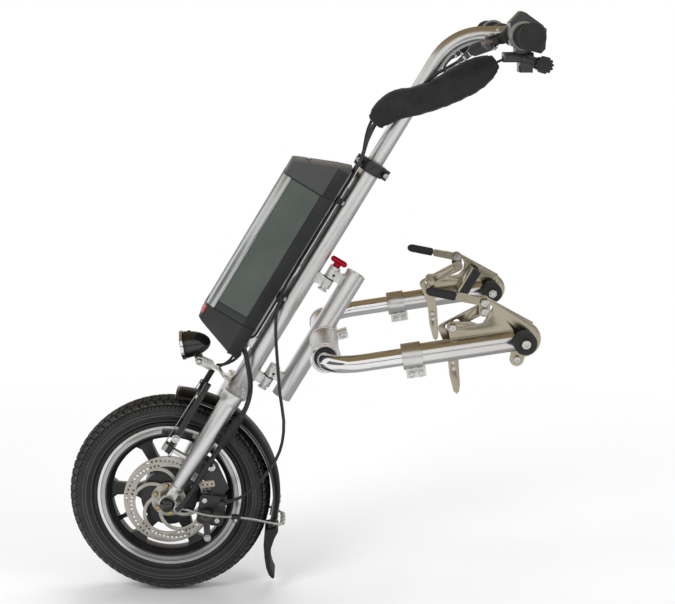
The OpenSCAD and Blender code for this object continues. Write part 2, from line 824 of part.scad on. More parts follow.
module battery_cells() {
    wall = battery_wall + gap;
    depth = battery_depth - panel_back - gap - wall;
    color([0.15, 0.3, 0.6]) column_frame()
        translate([battery_front + wall + depth / 2, 0, base_top + gap + battery_wall])
            linear_extrude(battery_len - 12) rounded2d(depth, battery_w - 2 * wall, 13);
}

base_front_drop = 24;
base_rear_drop = 55;
module battery_base() {
    drop = base_rear_drop - base_front_drop;
    color(graphite) column_frame() difference() {
        translate([0, 0, base_top - base_rear_drop]) linear_extrude(base_rear_drop) difference() {
            battery_section(0);
            tongue_way(gap);
        }
        translate([battery_front, -battery_w, base_top - base_front_drop])
            rotate([0, atan2(drop, battery_depth), 0]) translate([-10, 0, -100])
                cube([2 * battery_depth, 2 * battery_w, 100]);
        // Chamber for the controller, open at the top
        translate([0, 0, base_top - base_front_drop + 4]) linear_extrude(base_front_drop) intersection() {
            battery_section(battery_wall + 2);
            translate([battery_front, -battery_w / 2]) square([battery_depth - 24, battery_w]);
        }
    }
}

module controller_board() {
    floor = base_top - base_front_drop + 4;
    color([0.1, 0.35, 0.15]) column_frame() translate([battery_front + 9, -battery_w / 2 + 10, floor]) {
        cube([battery_depth - 40, battery_w - 20, 2]);
        translate([6, 8, 1.5]) cube([24, 30, 10]);
        translate([6, 46, 1.5]) cube([20, 18, 14]);
    }
}

module battery_rail() {
    feet = [268, 400, 560];
    foot = [14, 18];
    color(silver) column_frame() difference() {
        union() {
            translate([rail_back, -rail_w / 2, rail_low]) cube([rail_t, rail_w, rail_high - rail_low]);
            translate([0, 0, rail_low]) linear_extrude(rail_high - rail_low - 20) tongue_way(0);
            for (z = feet) translate([rail_back + 1, -foot[0] / 2, z]) cube([10, foot[0], foot[1]]);
        }
        cylinder(r = column_r + seat, h = 700);
    }
}

// Headlight

lamp_pivot = [49, 214];
lamp_pitch = 8;
lamp_drop = 27;
lamp_front = -24;
lamp_pin_r = 3;
module lamp_frame() {
    wheel_frame() translate([lamp_pivot.x, 0, lamp_pivot.y]) rotate([0, -lamp_pitch, 0]) children();
}

module headlight_shell() {
    r = lamp_d / 2;
    wall = 2;
    profile = concat([[r, 0], [r, 5], [r - 1.5, 6]], ellipse([0, 6], r - 1.5, lamp_len - 6, 0, 90, 14));
    bore = concat([[0, lamp_len - wall - 2]],
        [for (i = [14 : -1 : 0]) let (a = 90 * i / 14)
            [(r - 1.5 - wall) * cos(a), 6 + (lamp_len - 8 - wall) * sin(a)]],
        [[r - 1.5 - wall, 3], [r - 1.2, 3], [r - 1.2, 0]]);
    color(black) lamp_frame() {
        translate([lamp_front, 0, lamp_drop]) rotate([0, 90, 0])
            rotate_extrude() polygon(concat(profile, bore));
        // Foot with the pivot eye
        difference() {
            union() {
                translate([-6, -5, 0]) cube([12, 10, lamp_drop - r + 4]);
                translate([0, -5, 0]) along_y() cylinder(r = 6, h = 10);
            }
            translate([0, -6, 0]) along_y() cylinder(r = lamp_pin_r + run, h = 12);
        }
    }
}

module headlight_lens() {
    r = lamp_d / 2 - 1.2 - seat;
    color([0.9, 0.93, 0.95, 0.5]) lamp_frame() translate([lamp_front, 0, lamp_drop]) rotate([0, 90, 0])
        rotate_extrude() polygon(concat([[0, 2.8], [r, 2.8], [r, 0]], ellipse([0, 0], r, -2.2, 0, 90, 8)));
}

bracket_t = 3;
module headlight_bracket() {
    eye = 5 + gap;
    color(silver) {
        wheel_frame() {
            // Two ears and the pivot bolt
            for (s = [-1, 1]) scale([1, s, 1]) plate_xz(eye, eye + bracket_t)
                link2d([lamp_pivot.x, lamp_pivot.y], [lamp_pivot.x + 16, lamp_pivot.y - 7.5], 6.5);
            translate([lamp_pivot.x, -eye - bracket_t - 3, lamp_pivot.y]) along_y()
                cylinder(r = lamp_pin_r, h = 2 * (eye + bracket_t + 3));
            // Bent strip down to the crown
            plate_xz(-eye - bracket_t, eye + bracket_t) translate(lamp_pivot) polygon([
                [13.6, -5.6], [31, -12.8], [40.2, -25.1], [37.8, -26.9], [29, -15.2], [12.4, -8.4]]);
        }
        column_frame() translate([-column_r - 14.4, -eye - bracket_t - 1.5, crown_top + seat])
            cube([14, 2 * (eye + bracket_t + 1.5), 4]);
    }
}

// Cockpit

clamp_h = 18;
clamp_r = column_r + 4.5;
clamp_top = column_top + 2;
ear_reach = 28;
module stem_clamp() {
    color(black) column_frame() translate([0, 0, clamp_top - clamp_h]) {
        difference() {
            union() {
                cylinder(r = clamp_r, h = clamp_h);
                translate([-ear_reach, -7, 1]) cube([2 * ear_reach, 14, clamp_h - 2]);
            }
            translate([0, 0, -1]) cylinder(r = column_r + seat, h = clamp_h - 2 + 1);
            translate([0, 0, clamp_h - 3]) cylinder(r = stem_r + gap, h = 5);
            for (s = [-1, 1]) translate([s * (ear_reach - 4), -8, clamp_h / 2]) along_y()
                cylinder(r = 2.5 + seat, h = 16);
        }
        // Clamp bolts
        for (s = [-1, 1]) translate([s * (ear_reach - 4), 0, clamp_h / 2]) {
            translate([0, -9, 0]) along_y() cylinder(r = 2.5, h = 18);
            translate([0, -10.5, 0]) along_y() cylinder(r = 4, h = 3.4);
            translate([0, 7.1, 0]) along_y() cylinder(r = 4, h = 3.4);
        }
    }
}

stem_low = 540;
module stem_tube() {
    color(silver) column_frame() {
        difference() {
            translate([0, 0, stem_low]) cylinder(r = stem_r, h = stem_rise - stem_low);
            translate([0, 0, stem_low - 1]) cylinder(r = stem_r - 2, h = 40);
        }
        // Bend towards the rider
        translate([stem_bend, 0, stem_rise]) rotate([90, 0, 0]) rotate([0, 0, 180 - stem_turn])
            rotate_extrude(angle = stem_turn) translate([stem_bend, 0]) circle(stem_r);
        translate([bend_x, 0, stem_rise + bend_z]) rotate([0, stem_turn, 0])
            cylinder(r = stem_r, h = stem_reach);
        translate([bar_at_x, -handlebar_w / 2, bar_at_z]) along_y()
            cylinder(d = handlebar_d, h = handlebar_w);
    }
}

grip_end_d = 38;
module hand_grips() {
    r = grip_d / 2;
    color(black) handlebar_frame() for (s = [-1, 1]) scale([1, s, 1])
        translate([0, handlebar_w / 2 - grip_len + 3, 0]) along_y() difference() {
            rotate_extrude() polygon([
                [0, 0], [r + 1, 0], [r + 1, 4], [r - 1.5, 7], [r, grip_len / 2], [r - 0.5, grip_len - 12],
                [grip_end_d / 2, grip_len - 7], [grip_end_d / 2, grip_len - 1.5],
                [grip_end_d / 2 - 1.5, grip_len], [0, grip_len]]);
            translate([0, 0, -1]) cylinder(d = handlebar_d + 2 * seat, h = grip_len - 2 + seat);
        }
}

lever_dip = 14;
lever_pivot = [-34, 96];
perch_w = 18;
perch_r = 16;
lever_t = 9;
lever_pin_r = 3;
// Housing that the brake cable leaves, in front of the perch
housing_from = [-38, -5];
housing_to = [-60, -7];
housing_r = 9;
barrel_dip = 22;
barrel_len = 20;
module lever_frame(side) {
    handlebar_frame() rotate([0, -lever_dip, 0]) scale([1, side, 1]) children();
}

module lever_perches() {
    eye = lever_t / 2 + gap;
    body_y = [lever_pivot.y - 18 - perch_w, lever_pivot.y - 20];
    color(black) for (side = [-1, 1]) lever_frame(side) {
        difference() {
            union() {
                translate([0, lever_pivot.y - 18 - perch_w, 0]) along_y() cylinder(r = perch_r, h = perch_w);
                // Body that reaches forwards to the pivot's fork and the cable's housing
                translate([lever_pivot.x - 6, body_y[0], -eye - 3])
                    cube([-lever_pivot.x, perch_w - 2, 2 * eye + 6]);
                plate_xz(body_y[0], body_y[1]) link2d(housing_from, housing_to, housing_r);
                translate([housing_to.x, (body_y[0] + body_y[1]) / 2, housing_to.y])
                    rotate([0, -90 - barrel_dip, 0]) cylinder(r = 4.5, h = barrel_len);
                for (z = [-eye - 3, eye]) translate([0, 0, z]) linear_extrude(3)
                    link2d([lever_pivot.x, lever_pivot.y], [lever_pivot.x + 4, lever_pivot.y - 26], 7);
            }
            along_y() cylinder(d = handlebar_d + 2 * seat, h = 200);
        }
        translate([lever_pivot.x, lever_pivot.y, -eye - 4]) cylinder(r = lever_pin_r, h = 2 * eye + 8);
    }
}

module brake_lever(side) {
    start = [lever_pivot.x, lever_pivot.y];
    color(graphite) lever_frame(side) difference() {
        translate([0, 0, -lever_t / 2]) linear_extrude(lever_t) {
            translate(start) circle(7);
            link2d(start, start + [-14, 24], 6);
            link2d(start + [-14, 24], start + [-14, blade_len - 40], 5.4);
            link2d(start + [-14, blade_len - 40], start + [-20, blade_len], 5.4);
        }
        translate([lever_pivot.x, lever_pivot.y, -20]) cylinder(r = lever_pin_r + run, h = 40);
    }
}
module brake_lever_left() {
    brake_lever(-1);
}
module brake_lever_right() {
    brake_lever(1);
}

// Control housing with its display, beside the left grip
unit_y = [90, 132] - handlebar_w / 2 * [1, 1];
unit_tilt = 35;
window_at = [15.5, 22.5];
window_size = [30, 32];
throttle_y = [56, 84] - handlebar_w / 2 * [1, 1];
throttle_pin_r = 3;
button_at = [16, 117 - handlebar_w / 2, -29.5];
button_d = 9;
button_h = 4.4;
button_travel = 2;
switch_x = [-24, 16];
switch_low = -36.5;
switch_h = 14;
module control_unit() {
    color(graphite) handlebar_frame() {
        difference() {
            union() {
                plate_xz(unit_y[0], unit_y[1]) {
                    polygon([[-18, 18], [-2, 34.5], [33, 10], [32, -18], [26, -24], [-14, -14]]);
                    circle(handlebar_d / 2 + 6);
                    // Neck above the switch box and the bracket below it
                    translate([-8, -24]) square([20, 14]);
                    translate([-2, switch_low - 14]) square([17, 15]);
                }
                translate([switch_x[0], (unit_y[0] + unit_y[1]) / 2, switch_low + switch_h / 2])
                    rotate([90, 0, 90]) linear_extrude(switch_x[1] - switch_x[0])
                        rounded2d(unit_y[1] - unit_y[0], switch_h, switch_h / 2 - 0.1);
                plate_xz(throttle_y[1] + gap, unit_y[0] + 14) link2d([6, -34], throttle_pivot, 8);
            }
            translate([0, unit_y[0] - 1, 0]) along_y() cylinder(d = handlebar_d + 2 * seat, h = 60);
            translate(button_at) translate([-button_h, 0, 0]) rotate([0, 90, 0])
                cylinder(d = button_d + 2 * gap, h = 20);
            // Seat of the display's window
            translate([window_at.x, (unit_y[0] + unit_y[1]) / 2, window_at.y]) rotate([0, unit_tilt, 0])
                translate([0, 0, 1.3]) cube([window_size[0], window_size[1], 5], center = true);
        }
        // Spindle of the throttle
        translate([throttle_pivot.x, throttle_y[0] + 10, throttle_pivot.y]) along_y()
            cylinder(r = throttle_pin_r, h = throttle_y[1] - throttle_y[0]);
    }
}

module throttle() {
    wide = throttle_y[1] - throttle_y[0];
    color(black) handlebar_frame() translate([throttle_pivot.x, throttle_y[0], throttle_pivot.y]) along_y()
        difference() {
            union() {
                cylinder(r = throttle_r - 2, h = wide);
                // Grip ribs round the wheel
                for (i = [0 : 11]) rotate(i * 30) translate([throttle_r - 2.2, 0, 0])
                    cylinder(r = 2.2, h = wide, $fn = 16);
            }
            translate([0, 0, 10 - gap]) cylinder(r = throttle_pin_r + run, h = wide);
        }
}

module power_button() {
    color([0.75, 0.1, 0.08]) handlebar_frame() translate(button_at)
        translate([button_travel + gap - button_h, 0, 0]) rotate([0, 90, 0])
            cylinder(d = button_d, h = button_h);
}

// Neoprene sleeve round the cables, on the left of the stem: centres, half heights, half widths
sleeve_spine = [
    [-34, -26, 664], [-29, -27, 684], [-18, -29, 706], [2, -30.5, 728], [22, -30.5, 752],
    [40, -30, 778], [56, -29, 804], [68, -28, 826], [74, -27, 838]
];
sleeve_high = [13, 21, 25, 26, 27, 28, 26, 19, 10];
sleeve_wide = [8, 13, 15, 16, 16, 16, 15, 13, 7];
sleeve_sides = 20;
module cable_sleeve() {
    color([0.12, 0.12, 0.13]) column_frame() skin([for (i = [0 : len(sleeve_spine) - 1])
        let (t = heading(sleeve_spine, i), e = unit(cross(t, [0, 1, 0])), f = cross(t, e))
        [for (j = [0 : sleeve_sides - 1]) let (a = 360 * j / sleeve_sides)
            sleeve_spine[i] + sleeve_high[i] * cos(a) * e + sleeve_wide[i] * sin(a) * f]]);
}

// Cables, in the column's frame
brake_cable_d = 5;

// Height between the battery's cap and the sleeve's lower end, by a share f of the way up
function over_cap(f) = cap_top + f * (sleeve_spine[0].z - cap_top);

left_brake_route = [
    [26.5, -69, 819], [22, -67, 808], [14, -58, 792], [6, -46, 776], [0, -35, 758], [-6, -31.5, 738],
    [-24, -30, 710], [-36, -27, 686], [-39, -24, 664], [-34, -21, over_cap(0.7)],
    [-25, -18.5, over_cap(0.4)], [-20.8, -17, over_cap(0.15)], [-20.5, -16.5, 560], [-20.5, -16, 460],
    [-20, -17, 380], [-12, -24, 342], [4, -32, 312], [26, -42, 280], [56, -54, 238], [82, -60, 206],
    [97, -64, 176], [102, -68, 149], [100, -70, 118], [93, -70, 86], [84, -70, 66], [71.4, -70, 51.4]
];
right_brake_route = [
    [26.5, 69, 819], [22, 67, 808], [19, 56, 795], [22, 38, 786], [28, 16, 780], [33, -4, 776],
    [36, -20, 768], [34, -29, 756], [22, -31.5, 738], [8, -31.5, 723], [-12, -30, 700], [-26, -26, 680],
    [-30, -14, 668], [-29, 0, over_cap(0.85)], [-26, 10, over_cap(0.6)], [-22, 16, over_cap(0.35)],
    [-20.5, 17, over_cap(0.1)], [-20.5, 17, 556], [-20.5, 17, 400], [-20.5, 17, 290], [-21, 18, 254],
    [-26, 24, 230], [-36, 31, 214], [-44, 35, 207]
];
module brake_cables() {
    color(black) column_frame() {
        cable(left_brake_route, brake_cable_d, 2, [0.2, 1, 0.7]);
        cable(right_brake_route, brake_cable_d, 2, [1, 0.1, 0.05]);
    }
}

lead_d = 8;
signal_d = 4;
motor_route = [
    [-25.6, -20, 264], [-18, -22, 258], [-6, -28, 245], [8, -40, 229], [18, -54, 210], [22, -64, 186],
    [20, -66, 150], [18, -66, 110], [16, -67, 70], [17, -69, 36], [15, -73, 14], [11, -75, 2]
];
signal_route = [
    [88, unit_y[1] + gap, 873], [88, unit_y[1] + 24, 871], [86, -62, 862], [83, -38, 850],
    [76, -29, 838], [68, -28, 826], [56, -29, 804], [40, -30, 778], [22, -30.5, 752],
    [2, -30.5, 728], [-18, -29, 706], [-30, -26.5, 684], [-34, -26, 660], [-30, -25.5, over_cap(0.7)],
    [-24, -24.5, over_cap(0.4)], [-20.8, -23.5, over_cap(0.15)], [-20.5, -23, 556],
    [-20.5, -23, 400], [-20.5, -23, 312], [-21, -22, 292], [-25.4, -22, 284]
];
lamp_route = [
    [-68, 12, 206], [-56, 14, 203], [-42, 15, 210], [-33, 17, 226], [-31, 17, 238], [-31, 17, 246.4]
];
module wiring() {
    color(black) column_frame() {
        cable(motor_route, lead_d, 3, [0.2, 1, 0.7]);
        cable(signal_route, signal_d, 2, [1, 0.1, 0.05]);
        cable(lamp_route, signal_d, 3, [0.1, 1, 0.1]);
    }
}

// Steering post and its hinge

ear_at = 47;
module post_tube() {
    color(silver) column_frame() difference() {
        union() {
            translate([post_x, 0, post_low]) cylinder(r = post_r, h = post_len);
            for (z = hinges) translate([0, 0, z + knuckle_h + knuckle_gap])
                knuckle(post_x - post_r + 3, pin_r + seat);
            translate([sleeve_x, -sleeve_len / 2, sleeve_rise]) along_y() {
                cylinder(d = sleeve_d, h = sleeve_len);
                for (z = [0, sleeve_len - 8]) translate([0, 0, z]) cylinder(d = sleeve_d + 4, h = 8);
            }
            // Clamp ear on the sleeve
            translate([sleeve_x, -13, sleeve_rise]) rotate([0, -ear_at, 0])
                translate([sleeve_d / 2 - 4, 0, -6]) cube([20, 26, 12]);
        }
        difference() {
            translate([post_x, 0, post_low - 1]) cylinder(r = post_r - post_wall, h = post_len + 2);
            translate([sleeve_x, -sleeve_len / 2, sleeve_rise]) along_y()
                cylinder(d = sleeve_d, h = sleeve_len);
        }
        translate([sleeve_x, -sleeve_len, sleeve_rise]) along_y()
            cylinder(r = bar_r + seat, h = 2 * sleeve_len);
        translate([sleeve_x, -20, sleeve_rise]) rotate([0, -ear_at, 0])
            translate([sleeve_d / 2 + 9, 0, 0]) along_y() cylinder(r = 3, h = 40);
    }
}

pin_over = 6;
module hinge_pins() {
    span = 2 * knuckle_h + knuckle_gap;
    color(silver) column_frame() for (z = hinges) translate([hinge_gap, 0, z]) {
        translate([0, 0, -pin_over]) cylinder(r = pin_r, h = span + pin_over + 2);
        translate([0, 0, span + seat]) ring(pin_r + 4, pin_r - 1, 5);
        translate([0, 0, -pin_over]) ring(pin_r + 2.5, pin_r - 1, 3);
    }
}

handle_len = 27;
module lock_handle() {
    top = upper_hinge + 2 * knuckle_h + knuckle_gap + 5 + gap;
    color([0.72, 0.05, 0.1]) column_frame() translate([hinge_gap, 0, top]) {
        cylinder(r = 6, h = 6);
        translate([-handle_len / 2 + 4, 0, 9]) rotate([0, 90, 0]) cylinder(r = 4.5, h = handle_len - 8);
        for (s = [-1, 1]) translate([s * (handle_len / 2 - 4), 0, 9]) sphere(4.5);
    }
}

module dock_bar() {
    half = dock_span / 2;
    color(chrome) translate([axle_x + dock_x, 0, dock_z]) rotate([0, -arm_rise, 0]) {
        translate([0, bar_bend - half, 0]) along_y() cylinder(r = bar_r, h = dock_span - 2 * bar_bend);
        for (m = [0, 1]) mirror([0, m, 0]) {
            translate([bar_bend, bar_bend - half, 0]) rotate(180)
                rotate_extrude(angle = 90) translate([bar_bend, 0]) circle(bar_r);
            translate([bar_bend, -half, 0]) rotate([0, 90, 0]) difference() {
                cylinder(r = bar_r, h = bar_leg - bar_bend);
                translate([0, 0, 5]) cylinder(r = bar_r - 2, h = bar_leg);
            }
        }
    }
}

// Docking arms and latches

module arm_tube(side) {
    color(silver) arm_frame(side) translate([arm_front, 0, 0]) rotate([0, 90, 0]) difference() {
        cylinder(r = arm_r, h = arm_len);
        translate([0, 0, -1]) cylinder(r = bar_r + run, h = arm_len - 8);
    }
}
module arm_tube_left() {
    arm_tube(-1);
}
module arm_tube_right() {
    arm_tube(1);
}

tab_bolts = [10, 24];
tab_low = -31.5;
tab_bolt_z = -26;
tab_half = 6;
module arm_collar(side) {
    color(silver) arm_frame(side) translate([arm_front, 0, 0]) {
        difference() {
            union() {
                rotate([0, 90, 0]) cylinder(d = collar_d, h = collar_len);
                translate([3, -tab_half, tab_low]) cube([collar_len, 2 * tab_half, -tab_low - 6]);
            }
            translate([-1, 0, 0]) rotate([0, 90, 0]) cylinder(r = arm_r + seat, h = collar_len + 5);
            translate([-1, -1, tab_low - 1]) cube([collar_len + 5, 2, -tab_low]);
            for (x = tab_bolts) translate([x, -10, tab_bolt_z]) along_y() cylinder(r = 2.5 + seat, h = 20);
        }
        for (x = tab_bolts) translate([x, 0, tab_bolt_z]) {
            translate([0, -tab_half - 2, 0]) along_y() cylinder(r = 2.5, h = 2 * tab_half + 4);
            for (y = [-tab_half - 3, tab_half]) translate([0, y, 0]) along_y() cylinder(r = 4.2, h = 3);
        }
    }
}
module arm_collar_left() {
    arm_collar(-1);
}
module arm_collar_right() {
    arm_collar(1);
}

// Latch: lever pivot, hook guide pin and saddle, measured in the arm frame's x and z
lever_at = [roller_reach - 47.5, 62];
guide_at = [roller_reach - 97, 32];
crank_at = lever_at + [-0.1, -1] * crank;
guide_r = 3;
lever_pin = 4;
hook_y = -arm_r - 0.7 - hook_t;
hook_out = hook_y + hook_t;
saddle_dir = [0.63, 0.777];
saddle_at = [roller_reach - 26.5, 17];
saddle_y = -arm_r - tube_d / 2 - 0.6;
saddle_half = tube_d / 2 + 3.4;
saddle_tilt = atan2(saddle_dir.y, saddle_dir.x);
saddle_back = tube_d / 2 + 5;
saddle_open = 3;
liner_t = 3;
roller_out = [arm_r + 0.6, arm_r + 18];
roller_in = [arm_r + 0.6, arm_r + 28];
axle_bolt_r = 5;
spacer_r = 8;

// Saddle frame: x along the wheelchair tube, z away from the saddle, origin on the tube's axis
module saddle_frame() {
    translate([saddle_at.x, saddle_y, saddle_at.y]) rotate([0, -saddle_tilt, 0])
        rotate([180, 0, 0]) children();
}

module arm_bar(r, len) {
    rotate([0, 90, 0]) cylinder(r = r, h = len);
}

module latch_plate(side) {
    half = plate_t / 2;
    color(nickel) arm_frame(side) {
        difference() {
            plate_xz(-half, half) difference() {
                union() {
                    translate(lever_at) circle(8);
                    translate(guide_at) circle(8);
                    translate([roller_reach, 0]) circle(end_r);
                    translate([roller_reach, 0]) polygon([
                        [-103, 10], [-103, 36], [-94, 39.5], [-72, 37], [-60, 31], [-48, 32], [-39, 40],
                        [-36, 51], [-40, 60], [-43, 68.5], [18, 22], [0, -10]]);
                    link2d([roller_reach - 4, -10], [roller_reach - 12, -28], 10);
                }
                translate([roller_reach - 12, -28]) circle(3);
            }
            translate([-1, 0, 0]) arm_bar(arm_r + seat, arm_end + 1 + gap);
            translate([lever_at.x, -20, lever_at.y]) along_y() cylinder(r = lever_pin + seat, h = 40);
            translate([guide_at.x, -20, guide_at.y]) along_y() cylinder(r = guide_r + seat, h = 40);
            translate([roller_reach, -20, 0]) along_y() cylinder(r = axle_bolt_r + seat, h = 40);
        }
        // Flange behind the saddle, welded to the plate
        difference() {
            saddle_frame() translate([-saddle_len / 2, saddle_y + half + seat, -saddle_back - liner_t])
                cube([saddle_len, saddle_half - saddle_y - half - seat, liner_t]);
            translate([-1, 0, 0]) arm_bar(arm_r + gap, arm_end + 2);
        }
        // Lever pivot bolt
        translate([lever_at.x, -10, lever_at.y]) along_y() cylinder(r = lever_pin, h = 20);
        for (y = [-11.5, 8.5]) translate([lever_at.x, y, lever_at.y]) along_y() cylinder(r = 6, h = 3);
        // Guide pin with its spacer and heads
        translate([guide_at.x, hook_y - 3, guide_at.y]) along_y()
            cylinder(r = guide_r, h = half + 4 - hook_y);
        translate([guide_at.x, hook_out + gap, guide_at.y]) along_y()
            cylinder(r = 5, h = -half - seat - hook_out - gap);
        translate([guide_at.x, hook_y - gap - 3, guide_at.y]) along_y() cylinder(r = 6, h = 3);
        translate([guide_at.x, half + seat, guide_at.y]) along_y() cylinder(r = 6, h = 4);
        // Roller bolt with spacers on both sides of the plate
        translate([roller_reach, -roller_in[1] - 3, 0]) along_y()
            cylinder(r = axle_bolt_r, h = roller_in[1] + roller_out[1] + 6);
        translate([roller_reach, half + seat, 0]) along_y()
            cylinder(r = spacer_r, h = roller_out[0] - half - 2 * seat);
        translate([roller_reach, -roller_in[0] + seat, 0]) along_y()
            cylinder(r = spacer_r, h = roller_in[0] - half - 2 * seat);
        for (y = [-roller_in[1] - 3, roller_out[1]]) translate([roller_reach, y, 0]) along_y()
            cylinder(r = 6, h = 3);
    }
}
module latch_plate_left() {
    latch_plate(-1);
}
module latch_plate_right() {
    latch_plate(1);
}

module dock_rubber(side) {
    color(rubber) arm_frame(side) {
        // Saddle that lines the flange
        difference() {
            saddle_frame() difference() {
                translate([-saddle_len / 2, -saddle_half, -saddle_back + seat])
                    cube([saddle_len, 2 * saddle_half, saddle_back - saddle_open]);
                translate([-saddle_len, 0, 0]) rotate([0, 90, 0]) cylinder(d = tube_d, h = 2 * saddle_len);
            }
            translate([-1, 0, 0]) arm_bar(arm_r + gap, arm_end + 2);
        }
        // Roller in two halves, one on each side of the arm
        for (y = [-roller_in[1], roller_out[0]]) translate([roller_reach, y, 0]) along_y()
            ring(roller_d / 2, axle_bolt_r + seat,
                y < 0 ? roller_in[1] - roller_in[0] : roller_out[1] - roller_out[0]);
    }
}
module dock_rubber_left() {
    dock_rubber(-1);
}
module dock_rubber_right() {
    dock_rubber(1);
}

lever_turn = 160.2;
cheek_t = 3;
cheek_in = plate_t / 2 + 0.5;
cheek_out = cheek_in + cheek_t;
stalk_len = 36;
tang_r = 2.5;
module lever_outline() {
    translate(lever_at) circle(8.5);
    link2d(lever_at, crank_at, 8);
    link2d(lever_at, lever_at + stalk_len * [cos(lever_turn), sin(lever_turn)], 5.5);
}

module latch_lever(side) {
    color(nickel) arm_frame(side) {
        difference() {
            union() {
                for (y = [-cheek_out, cheek_in]) plate_xz(y, y + cheek_t) lever_outline();
                // Solid stalk in front of the cheeks
                plate_xz(-cheek_out, cheek_out) link2d(
                    lever_at + 22 * [cos(lever_turn), sin(lever_turn)],
                    lever_at + stalk_len * [cos(lever_turn), sin(lever_turn)], 5.5);
            }
            translate([lever_at.x, -20, lever_at.y]) along_y() cylinder(r = lever_pin + run, h = 40);
        }
        // Tang inside the grip
        translate([lever_at.x, 0, lever_at.y]) rotate([0, -lever_turn, 0]) translate([stalk_len, 0, 0])
            arm_bar(tang_r, lever_grip_len - 4);
        // Crank pin that carries the hook
        translate([crank_at.x, hook_y - 2, crank_at.y]) along_y()
            cylinder(r = lever_pin, h = cheek_out + 3 - hook_y + 2);
        translate([crank_at.x, hook_y - gap - 3, crank_at.y]) along_y() cylinder(r = 6.5, h = 3);
        translate([crank_at.x, cheek_out, crank_at.y]) along_y() cylinder(r = 6, h = 3.4);
    }
}
module latch_lever_left() {
    latch_lever(-1);
}
module latch_lever_right() {
    latch_lever(1);
}

lever_grip_d = 13;
module lever_grip(side) {
    r = lever_grip_d / 2;
    start = stalk_len + 5.5 + seat;
    color(black) arm_frame(side) translate([lever_at.x, 0, lever_at.y]) rotate([0, -lever_turn, 0])
        translate([start, 0, 0]) rotate([0, 90, 0]) difference() {
            rotate_extrude() polygon(concat([[0, 0], [r - 0.6, 0], [r, 1.5], [r, lever_grip_len - 9]],
                ellipse([0, lever_grip_len - 9], r, 9, 0, 90, 10)));
            translate([0, 0, -1]) cylinder(r = tang_r + seat, h = lever_grip_len - 8);
        }
}
module lever_grip_left() {
    lever_grip(-1);
}
module lever_grip_right() {
    lever_grip(1);
}

hook_w = 16;
hook_len = 63;
slot_play = 1.3;
module latch_hook(side) {
    reach = guide_at - crank_at;
    slot_from = crank_at + unit(reach) * (norm(reach) - 9);
    slot_to = crank_at + unit(reach) * (norm(reach) + 5);
    knee = crank_at + unit(reach) * hook_len;
    color(nickel) arm_frame(side) difference() {
        plate_xz(hook_y, hook_out) difference() {
            union() {
                link2d(crank_at, knee, hook_w / 2);
                // Leg that tapers to its tip below the arm
                translate([roller_reach, 0]) polygon([
                    [-115.8, 26], [-112, 12], [-108.2, -13.5], [-109.2, -42], [-106.6, -66], [-102.6, -70.5],
                    [-98.5, -67], [-96.1, -57], [-93.1, -15.8], [-95, 5], [-101, 24]]);
            }
            link2d(slot_from, slot_to, guide_r + slot_play);
        }
        translate([crank_at.x, hook_y - 5, crank_at.y]) along_y() cylinder(r = lever_pin + run, h = 20);
        for (k = [24, 33]) translate([roller_reach - 102, hook_y - 5, -k]) along_y()
            cylinder(r = 2.4, h = 20);
    }
}
module latch_hook_left() {
    latch_hook(-1);
}
module latch_hook_right() {
    latch_hook(1);
}

tyre();
inner_tube();
wheel_casting();
motor_cover();
magnet_ring();
wheel_bearings();
brake_rotor();
rotor_bolts();
wheel_axle();
motor_stator();
axle_nuts();
fork_legs();
fork_crown();
column_tube();
mudguard();
guard_stay();
mud_flap();
disc_caliper();
caliper_arm();
rim_brake_arm_left();
rim_brake_arm_right();
battery_rail();
battery_base();
controller_board();
battery_case();
battery_cap();
battery_cells();
headlight_bracket();
headlight_shell();
headlight_lens();
stem_clamp();
stem_tube();
hand_grips();
lever_perches();
brake_lever_left();
brake_lever_right();
control_unit();
throttle();
power_button();
cable_sleeve();
brake_cables();
wiring();
post_tube();
hinge_pins();
lock_handle();
dock_bar();
arm_tube_left();
arm_collar_left();
latch_plate_left();
dock_rubber_left();
latch_lever_left();
lever_grip_left();
latch_hook_left();
arm_tube_right();
arm_collar_right();
latch_plate_right();
dock_rubber_right();
latch_lever_right();
lever_grip_right();
latch_hook_right();
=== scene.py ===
"""Looks of a powered front-wheel attachment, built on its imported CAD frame.

Metres, +Z up, travel towards -X, rider's left at -Y. Places repeat the named sizes of the CAD source.
"""
from math import acos, asin, atan2, cos, floor as round_down, hypot, pi, radians, sin, sqrt, tan, tau

import bmesh
import bpy
from mathutils import Matrix, Vector
from mathutils.bvhtree import BVHTree


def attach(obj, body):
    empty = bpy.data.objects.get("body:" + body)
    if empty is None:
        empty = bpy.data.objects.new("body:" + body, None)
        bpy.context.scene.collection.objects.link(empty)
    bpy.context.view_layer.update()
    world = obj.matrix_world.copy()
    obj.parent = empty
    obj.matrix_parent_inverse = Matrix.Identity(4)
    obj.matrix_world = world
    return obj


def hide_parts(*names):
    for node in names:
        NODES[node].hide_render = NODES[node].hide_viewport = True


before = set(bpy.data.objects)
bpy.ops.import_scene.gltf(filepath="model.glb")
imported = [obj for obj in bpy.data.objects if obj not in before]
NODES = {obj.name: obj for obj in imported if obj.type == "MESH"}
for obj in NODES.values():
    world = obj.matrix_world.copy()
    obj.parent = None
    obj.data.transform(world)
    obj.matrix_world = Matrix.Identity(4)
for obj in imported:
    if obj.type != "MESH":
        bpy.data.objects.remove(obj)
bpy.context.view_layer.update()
MM = 0.001

